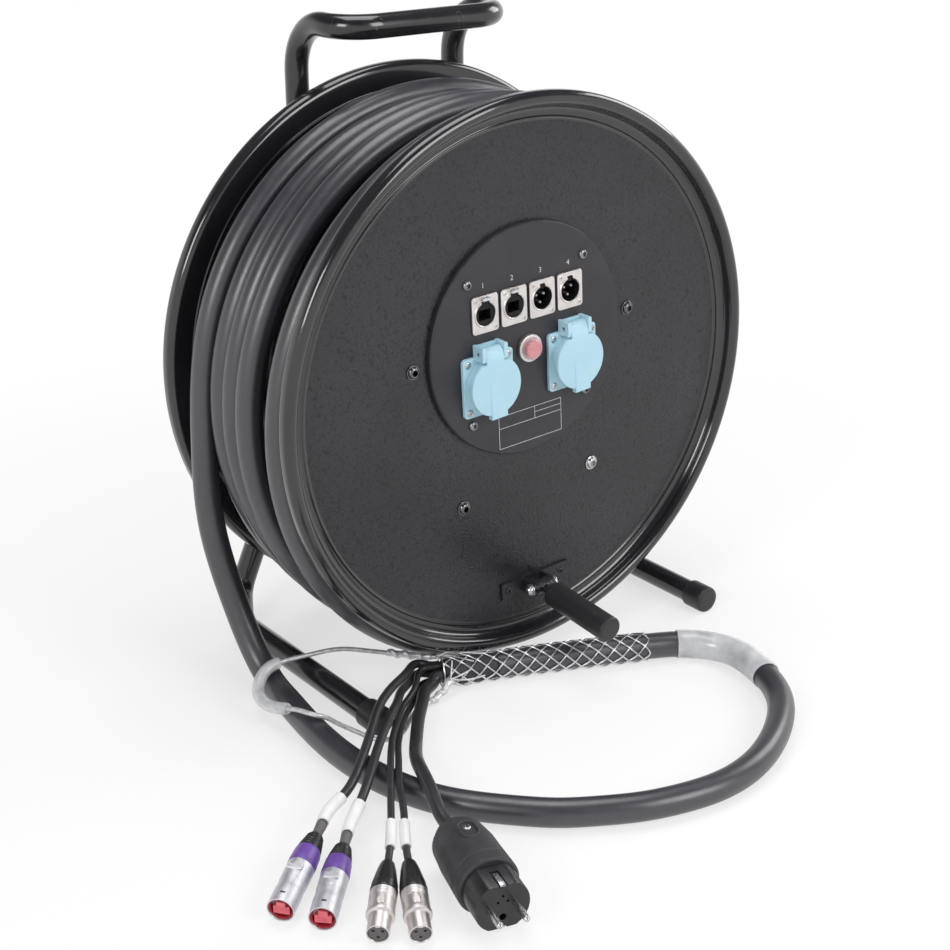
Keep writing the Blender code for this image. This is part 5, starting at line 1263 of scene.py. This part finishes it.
class DrumOperator(Operator):
    """The two flanges, each a disc in a ridged and rolled rim"""

    bl_idname = "reel.drum"
    bl_label = "Drum"

    def execute(self, context):
        sides = 192
        hub = [(HUB_RADIUS, INNER_FACE), (HUB_RADIUS, HUB_END), (HUB_BORE, HUB_END)]
        for name, grid, finish, sharp in (
            ("flange_front", disc_grid(-1, circle(PANEL_OPENING, sides) + [0, PANEL_RISE]), "drum_paint", SHARP_EDGE),
            ("flange_rear", disc_grid(1, circle(HUB_BORE, sides), hub), "drum_paint", SHARP_EDGE),
            ("rolled_front", rim_grid(-1, sides), "rim_paint", 50),
            ("rolled_rear", rim_grid(1, sides), "rim_paint", 50),
        ):
            shape, end = name.split("_")
            node_name = f"{end}_{'flange' if shape == 'flange' else 'rim'}"
            make(name, [shell(grid, loop=True)], finish, "drum", [node_name], sharp)
        return {"FINISHED"}


def bent_path(corners, radii, steps=12):
    """Straight runs joined by arcs: each corner's arc starts at radius times the tangent of half its turn."""
    corners = np.asarray(corners, float)
    path = [corners[:1]]
    for before, corner, after, radius in zip(corners, corners[1:], corners[2:], radii):
        into, out = unit(corner - before), unit(after - corner)
        turn = math.acos(into @ out)
        inward = unit(out - into * (out @ into))
        angle = np.linspace(0, turn, steps + 1)[:, None]
        start = corner - into * radius * math.tan(turn / 2)
        path.append(start + into * radius * np.sin(angle) + inward * radius * (1 - np.cos(angle)))
    path.append(corners[-1:])
    return np.vstack(path)


class StandOperator(Operator):
    """The bent tube, its foot caps, and the brake's knob"""

    bl_idname = "reel.stand"
    bl_label = "Stand"

    def execute(self, context):
        left = [(-178, -128, 12), (-178, 88, 10), (-159, 121.5, 26), (-80, 121.5, 205), (-80, 121.5, 520),
                (-80, 45.6, 520)]
        corners = MM * np.array(left + [(-x, y, z) for x, y, z in reversed(left)]) + [0, REEL_Y, 0]
        bends = MM * np.array([21, 21, 30, 42, 30, 30, 42, 30, 21, 21])
        path = bent_path(corners, bends)
        make("tube", [tube(path, context.scene.reel_sizes.tube_radius, 40)], "stand_paint", "stand",
             ["stand_frame"])

        tilt = math.atan2(corners[0, 2] - corners[1, 2], corners[1, 1] - corners[0, 1])
        axis = np.array([0.0, math.cos(tilt), -math.sin(tilt)])
        cap = filleted([(0.3, -3.2), (8.5, -3, 2), (11.6, -2.2, 1.6), (12, 0.5, 1), (12, 18, 0.7), (10.9, 19, 0.3),
                        (10.9, -0.3), (0.3, -0.3)])
        make("foot_caps", [lathed(cap, lying(end, axis)) for end in (corners[0], corners[-1])],
             "grip_plastic", "stand", ["foot_cap_left", "foot_cap_right"])

        def lobed(height, angle):
            return np.where(height > 40.5, 1 - 0.05 * (1 - np.cos(5 * angle)), 1.0)

        place = (np.array([0.045, 0.0856 + REEL_Y, AXLE_HEIGHT]), *np.eye(3))
        lathe("knob", [(0.3, -0.3), (8, -0.3, 0.4), (8, 5.7, 0.4), (4, 5.7), (4, 40.8), (16.8, 40.8, 0.8),
                       (19, 42.4, 1.5), (19, 52.8, 2), (15, 54.8, 2), (0.3, 54.5)],
              place, "grip_plastic", "brake", ["brake_knob"], 80, lobed)
        return {"FINISHED"}


class CrankOperator(Operator):
    """The crank's grip, its pin and the rivets of its bracket"""

    bl_idname = "reel.crank"
    bl_label = "Crank"

    def execute(self, context):
        place = on_panel(0.0, -CRANK_DROP, CRANK_OUT - (PANEL_FACE - FLANGE_FACE))
        pin, across, out, up = place
        along = out * math.cos(CRANK_DROOP) - up * math.sin(CRANK_DROOP)
        grip = filleted([(4.3, 15), (9.4, 15, 0.6), (11, 17.2, 2), (11, 87.2, 0.6), (10.4, 88.2, 0.4), (9, 88.6, 1),
                         (2, 88.5), (0.2, 88.5)], 6)
        lathe("grip_handle", [(0.2, 15.7), *grip], (pin, across, along, -np.cross(across, along)), "grip_plastic",
              "grip", ["crank_grip"], 64)
        rivets = [screw(on_panel(x, -CRANK_DROP, 0.0023, FLANGE_FACE), 2.8, 1.2, "cross", 0.4)
                  for x in (-0.027, 0.030)]
        make("crank_screws", rivets, "drum_paint", "drum")
        lathe("crank_bolt", [
            (0.3, -16.8), (2.6, -16.4, 1.2), (4.4, -14.2, 1.8), (4.6, -12.5, 0.3), (4.6, -12.3), (5.6, -12.3, 0.2),
            (5.6, -11.3, 0.2), (3, -11.3), (3, 11.3), (6, 11.3, 0.3), (6, 13.4, 1), (4.4, 14.5, 0.8), (0.3, 14.6),
        ], along_across(place), "zinc", "drum", ["crank_pin"], 32)
        return {"FINISHED"}


# Panel

def numeral(text, place):
    """A plain figure as a thin mesh, centred on its place."""
    curve = bpy.data.curves.new(f"figure_{text}", "FONT")
    curve.body = text
    curve.size = FIGURE_SIZE
    curve.align_x = "CENTER"
    curve.align_y = "CENTER"
    curve.extrude = FIGURE_DEPTH
    holder = bpy.data.objects.new("figure", curve)
    bpy.context.scene.collection.objects.link(holder)
    bpy.context.view_layer.update()
    mesh = bpy.data.meshes.new_from_object(holder.evaluated_get(bpy.context.evaluated_depsgraph_get()))
    points = np.zeros(len(mesh.vertices) * 3)
    mesh.vertices.foreach_get("co", points)
    points = points.reshape(-1, 3)[:, [0, 2, 1]] / MM
    faces = [list(face.vertices) for face in mesh.polygons]
    bpy.data.objects.remove(holder)
    bpy.data.meshes.remove(mesh)
    return put(points, place), faces


def strip(start, stop, width=0.45, height=0.09):
    """A thin printed line between two points of the panel."""
    start, stop = np.array(start), np.array(stop)
    along = unit(stop - start)
    side = np.array([-along[1], along[0]]) * width / 2
    return pillar(np.array([start + side, stop + side, stop - side, start - side]), 0, height, on_panel(0, 0))


class PanelOperator(Operator):
    """Figures, label lines and screws of the panel, and the bolts of the flange"""

    bl_idname = "reel.panel"
    bl_label = "Panel"

    def execute(self, context):
        signs = [numeral(str(number), on_panel(SIGNAL_PITCH * (number - 2.5), FIGURE_RISE))
                 for number in (1, 2, 3, 4)]
        left, middle, right = -32.5, 4.7, 32.5
        top, half, second, bottom = -22.5, -27.6, -33, -50.7
        signs += [strip(start, stop) for start, stop in (
            ((left, top), (right, top)), ((left, bottom), (right, bottom)), ((left, top), (left, bottom)),
            ((right, top), (right, bottom)), ((left, second), (right, second)), ((middle, top), (middle, second)),
            ((middle, half), (right, half)))]
        make("panel_print", signs, "print", "drum")
        heads = [screw(on_panel(x, PANEL_RISE + z), 4, 2.6, "hex", 0.3)
                 for x in (-PANEL_SCREW, PANEL_SCREW) for z in (-PANEL_SCREW, PANEL_SCREW)]
        make("panel_screws", heads, "worn_steel", "drum")
        bolts = []
        for angle in np.radians(BOLT_ANGLES):
            place = on_panel(BOLT_CIRCLE * math.cos(angle), BOLT_CIRCLE * math.sin(angle), 0.0003, FLANGE_FACE)
            bolts.append(screw(place, 5, 3.4, "hex", float(angle)))
            bolts.append(stacked([(6, -0.2), (6.2, 0.6), (5.8, 0.9)], place))
        make("flange_bolts", bolts[:6], "dark_steel", "drum", ["flange_bolt_1", "flange_bolt_2", "flange_bolt_3"])
        make("flange_bolt_bright", bolts[6:], "zinc", "drum", ["flange_bolt_4"])
        return {"FINISHED"}


class SignalOperator(Operator):
    """The two data sockets and the two audio sockets"""

    bl_idname = "reel.signal"
    bl_label = "Signal sockets"

    def execute(self, context):
        plate = rounded_rectangle(26, 31, 2.8, 64)
        for number in (1, 2, 3, 4):
            kind, width, height, filled = (("rj45", 8, 3.6, self.data_socket) if number < 3 else
                                           ("xlr", 5.4, 4.8, self.audio_socket))
            place = on_panel(SIGNAL_PITCH * (number - 2.5), SIGNAL_RISE)
            middle = (0, 7.2 + height / 2)
            socket = make(f"{kind}_plate_{number}", [stacked([
                (11.8, -23.7), (11.8, 0.3), (plate * 0.99, 0.3), (plate, 0.6), (plate * 0.995, 2), (plate * 0.975, 2.3),
                (11.2, 2.3), (10.8, 3.1), (10, 3.1), (9.5, 2.6), (9.5, -14.7),
            ], place, 64)], "nickel", "drum", [f"{kind}_socket_{number}"])
            cut(socket, [block(width, height, 0.6, 1.2, 4.5, place, 0.2, middle, 24)])
            make(f"{kind}_notch_{number}", [block(width - 0.3, height - 0.3, 0.5, 1, 1.8, place, 0.2, middle, 24)],
                 "socket_black", "drum")
            corners = [screw(shifted(place, x, 2.2, z), 1.9, 0.6, "cross", 0.6) for x, z in ((-9.5, 12), (9.5, -12))]
            make(f"{kind}_screws_{number}", corners, "nickel", "drum")
            filled(number, place)
        return {"FINISHED"}

    @staticmethod
    def data_socket(number, place):
        """A black insert with a shouldered jack opening and gold contacts, and the latch above it."""
        jack = rounded_rectangle(11.8, 8.6, 0.6, 48) + [0, -0.8]
        steps = (9.2, -14.4), (9.2, 1), (8.6, 1.6), (jack, 1), (jack, -9.5), (jack * 0.97, -9.7)
        make(f"rj45_core_{number}", [stacked(steps, place)], "socket_black", "drum", [f"rj45_insert_{number}"])
        contacts = [pillar(rounded_rectangle(0.5, 1.6, 0.1, 16) + [x, 2.4], -9.4, -6.2, place)
                    for x in np.linspace(-3.5, 3.5, 8)]
        make(f"rj45_contacts_{number}", contacts, "gold", "drum")
        spot = shifted(place, 0, 0, 12.8)
        make(f"rj45_tab_{number}", [block(8, 2.6, 0.8, 3.3, 5.8, spot, 0.5)], "bright_shell", f"latch_{number}",
             [f"rj45_latch_{number}"])
        make(f"rj45_guard_{number}", [block(9.4, 3.6, 0.9, 2.1, 3, spot, 0.2)], "nickel", "drum")

    @staticmethod
    def audio_socket(number, place):
        """A black floor with a keyed rim and three bright pins."""
        floor = stacked([(9.2, -14.4), (9.2, -11.8), (8.8, -11.4)], place)
        liner = stacked([(9.45, -11.8), (9.45, 2.2), (8.8, 2.6), (8.8, -11.8)], place, loop=True)
        key = block(3, 2.2, 0.5, -11.8, 1.2, place, 0.3, (0, 8.2), 24)
        make(f"xlr_core_{number}", [floor, liner, key], "socket_black", "drum", [f"xlr_insert_{number}"])
        pin = filleted([(0.2, -12.5), (1.3, -12.5), (1.3, -1.2, 0.9), (0.4, -0.2, 0.3), (0.1, -0.2)])
        make(f"xlr_pins_{number}", [lathed(pin, spot, 20) for spot in three_about(place, 4.5)],
             "bright_shell", "drum")


class PowerOperator(Operator):
    """The two power sockets with their sprung lids"""

    bl_idname = "reel.power"
    bl_label = "Power sockets"

    def execute(self, context):
        for name, side in (("left", -1), ("right", 1)):
            place = on_panel(side * POWER_SPREAD, POWER_RISE)
            self.socket(name, place)
            self.lid(name, place)
        return {"FINISHED"}

    @staticmethod
    def socket(name, place):
        """A square flange with a round collar and a deep well with its contacts, and the hinge's box above."""
        square = rounded_rectangle(50, 50, 3.4, 64)
        body = make(f"power_body_{name}", [stacked([
            (21.5, -29.7), (21.5, 0.3), (square * 0.99, 0.3), (square, 0.6), (square, 3.2), (square * 0.975, 3.8),
            (23.5, 3.8), (22.6, 4.4), (22.5, 9), (22.1, 9.5), (20.1, 9.5), (19.7, 9.1), (19.7, -8),
        ], place, 64)], "blue_plastic", "drum", [f"power_socket_{name}"])
        cut(body, [pillar(circle(2.6, 24), -17.5, -6, shifted(place, x)) for x in (-9.5, 9.5)])
        side = along_across(place)
        ear = np.vstack([filleted([(0.3, 22), (13.5, 22, 1.4), (13.5, 34.5, 0.5), (0.3, 34.5)], 5), (0.3, 29)])
        cap = np.array([(0.3, 33.1), (8, 33.1), (8, 34.5), (0.3, 34.5)])
        hinge = make(f"power_hinge_{name}", [
            bevelled(ear * [-1, 1], -12.5, -9, side), bevelled(ear * [-1, 1], 9, 12.5, side),
            bevelled(cap * [-1, 1], -9.2, 9.2, side, 0.2), block(23.5, 12, 0.8, 0.3, 3.1, place, 0.3, (0, 28)),
        ], "blue_plastic", "drum")
        cut(hinge, [pillar(circle(1.8, 24), -20, 20, along_across(shifted(place, 0, HINGE_OUT, HINGE_RISE)))])
        corners = [screw(shifted(place, x, 3.6, z), 3.1, 1.1, "cross", 0.2)
                   for x in (-20.3, 20.3) for z in (-20.3, 20.3)]
        make(f"power_screws_{name}", corners, "zinc", "drum")
        clips = [contact_strip(0.8, way, ((19.2, 8.5), (18, 6), (17.6, 0), (19, -7.5)), place) for way in (-1, 1)]
        make(f"power_clips_{name}", clips, "zinc", "drum")

    @staticmethod
    def lid(name, place):
        """A round lid cut straight at the top, a neck round the hinge pin, and a tab that rises out of its face."""
        disc = circle(24.5, 96)
        disc[:, 1] = np.minimum(disc[:, 1], 20.3)
        cover = [(disc * share, height) for share, height in (
            (0.985, 10), (1, 10.4), (1, 13.3), (0.985, 13.9), (0.93, 14.1), (0.6, 14), (0.2, 13.9))]
        pin = HINGE_OUT, HINGE_RISE
        neck = np.array([(10, 15), (10, 24.6), *arc(pin, 4.2, -56, -180, 8), *arc(pin, 4.4, 180, 12, 14),
                         (12.8, 26.8), (13.8, 23.6), (14, 21), (14, 15)])
        left, right, low, high = -6.2, 10, -27, 8
        tab = np.array([
            [(left, 10, low), (right, 10, low), (right, 10, high), (left - 0.4, 10, high)],
            [(left, 14.6, low), (right, 13.8, low), (right, 13.2, high), (left - 0.4, 13.7, high)],
            [(left + 0.3, 15.2, low + 0.6), (right - 0.3, 14.3, low + 0.6), (right - 0.3, 13.3, high - 0.2),
             (left, 13.9, high - 0.2)],
        ])
        make(f"power_cover_{name}", [
            stacked(cover, place), bevelled(neck * [-1, 1], -8.7, 8.7, along_across(place), 0.3),
            shell(put(tab, place)),
        ], "blue_plastic", f"lid_{name}", [f"power_lid_{name}"])


class BreakerOperator(Operator):
    """The breaker's bezel, its button and the clear boot over it"""

    bl_idname = "reel.breaker"
    bl_label = "Breaker"

    def execute(self, context):
        place = on_panel(0.0, BREAKER_RISE)
        lathe("breaker_ring", [(0.3, -19.7), (8.8, -19.7), (8.8, 0.3), (11.5, 0.3, 0.2), (11.5, 3.8, 0.6),
                               (6.2, 4.3, 0.4), (6.2, -16.4), (0.3, -16.4)],
              place, "nickel", "drum", ["breaker_bezel"])
        lathe("reset", [(0.3, -6.1), (5.2, -6.1), (5.2, 7), (7.3, 7, 0.3), (7.3, 8.4, 0.8), (0.3, 8.6)], place,
              "red_plastic", "reset_button", ["breaker_button"])
        outer = filleted([(0.2, 9.8), (6.8, 9.8, 2.2), (8.6, 8, 2), (9, 5.2, 0.5), (9.6, 5, 0.3), (9.6, 4.6)], 6)
        inner = filleted([(8.2, 4.6), (8.2, 5.5), (7.8, 7.8, 2), (6.2, 9, 2), (0.2, 9)], 6)
        lathe("breaker_cap", [*outer, *inner], place, "clear_boot", "drum", ["breaker_boot"])
        return {"FINISHED"}


class REEL_PT_sidebar(Panel):
    bl_label = "Cable drum"
    bl_idname = "REEL_PT_sidebar"
    bl_space_type = "VIEW_3D"
    bl_region_type = "UI"
    bl_category = "Cable drum"

    def draw(self, context):
        for group in (context.scene.reel_sizes, context.scene.reel_colours):
            for key in group.bl_rna.properties.keys():
                if key not in {"rna_type", "name"}:
                    self.layout.prop(group, key)
        for operator in STEPS:
            self.layout.operator(operator.bl_idname)


STEPS = (
    StudioOperator, FinishesOperator, CableOperator, TailsOperator, RopeOperator, DrumOperator, StandOperator,
    CrankOperator, PanelOperator, SignalOperator, PowerOperator, BreakerOperator,
)
CLASSES = (ReelColours, ReelSizes, *STEPS, REEL_PT_sidebar)


def register():
    for cls in CLASSES:
        bpy.utils.register_class(cls)
    bpy.types.Scene.reel_sizes = PointerProperty(type=ReelSizes)
    bpy.types.Scene.reel_colours = PointerProperty(type=ReelColours)


def unregister():
    del bpy.types.Scene.reel_colours
    del bpy.types.Scene.reel_sizes
    for cls in reversed(CLASSES):
        bpy.utils.unregister_class(cls)


def main():
    for obj in list(bpy.context.scene.objects):
        if obj.type in {"CAMERA", "LIGHT"}:
            bpy.data.objects.remove(obj)
    register()
    for operator in STEPS:
        group, name = operator.bl_idname.split(".")
        getattr(getattr(bpy.ops, group), name)()


if __name__ == "__main__":
    main()
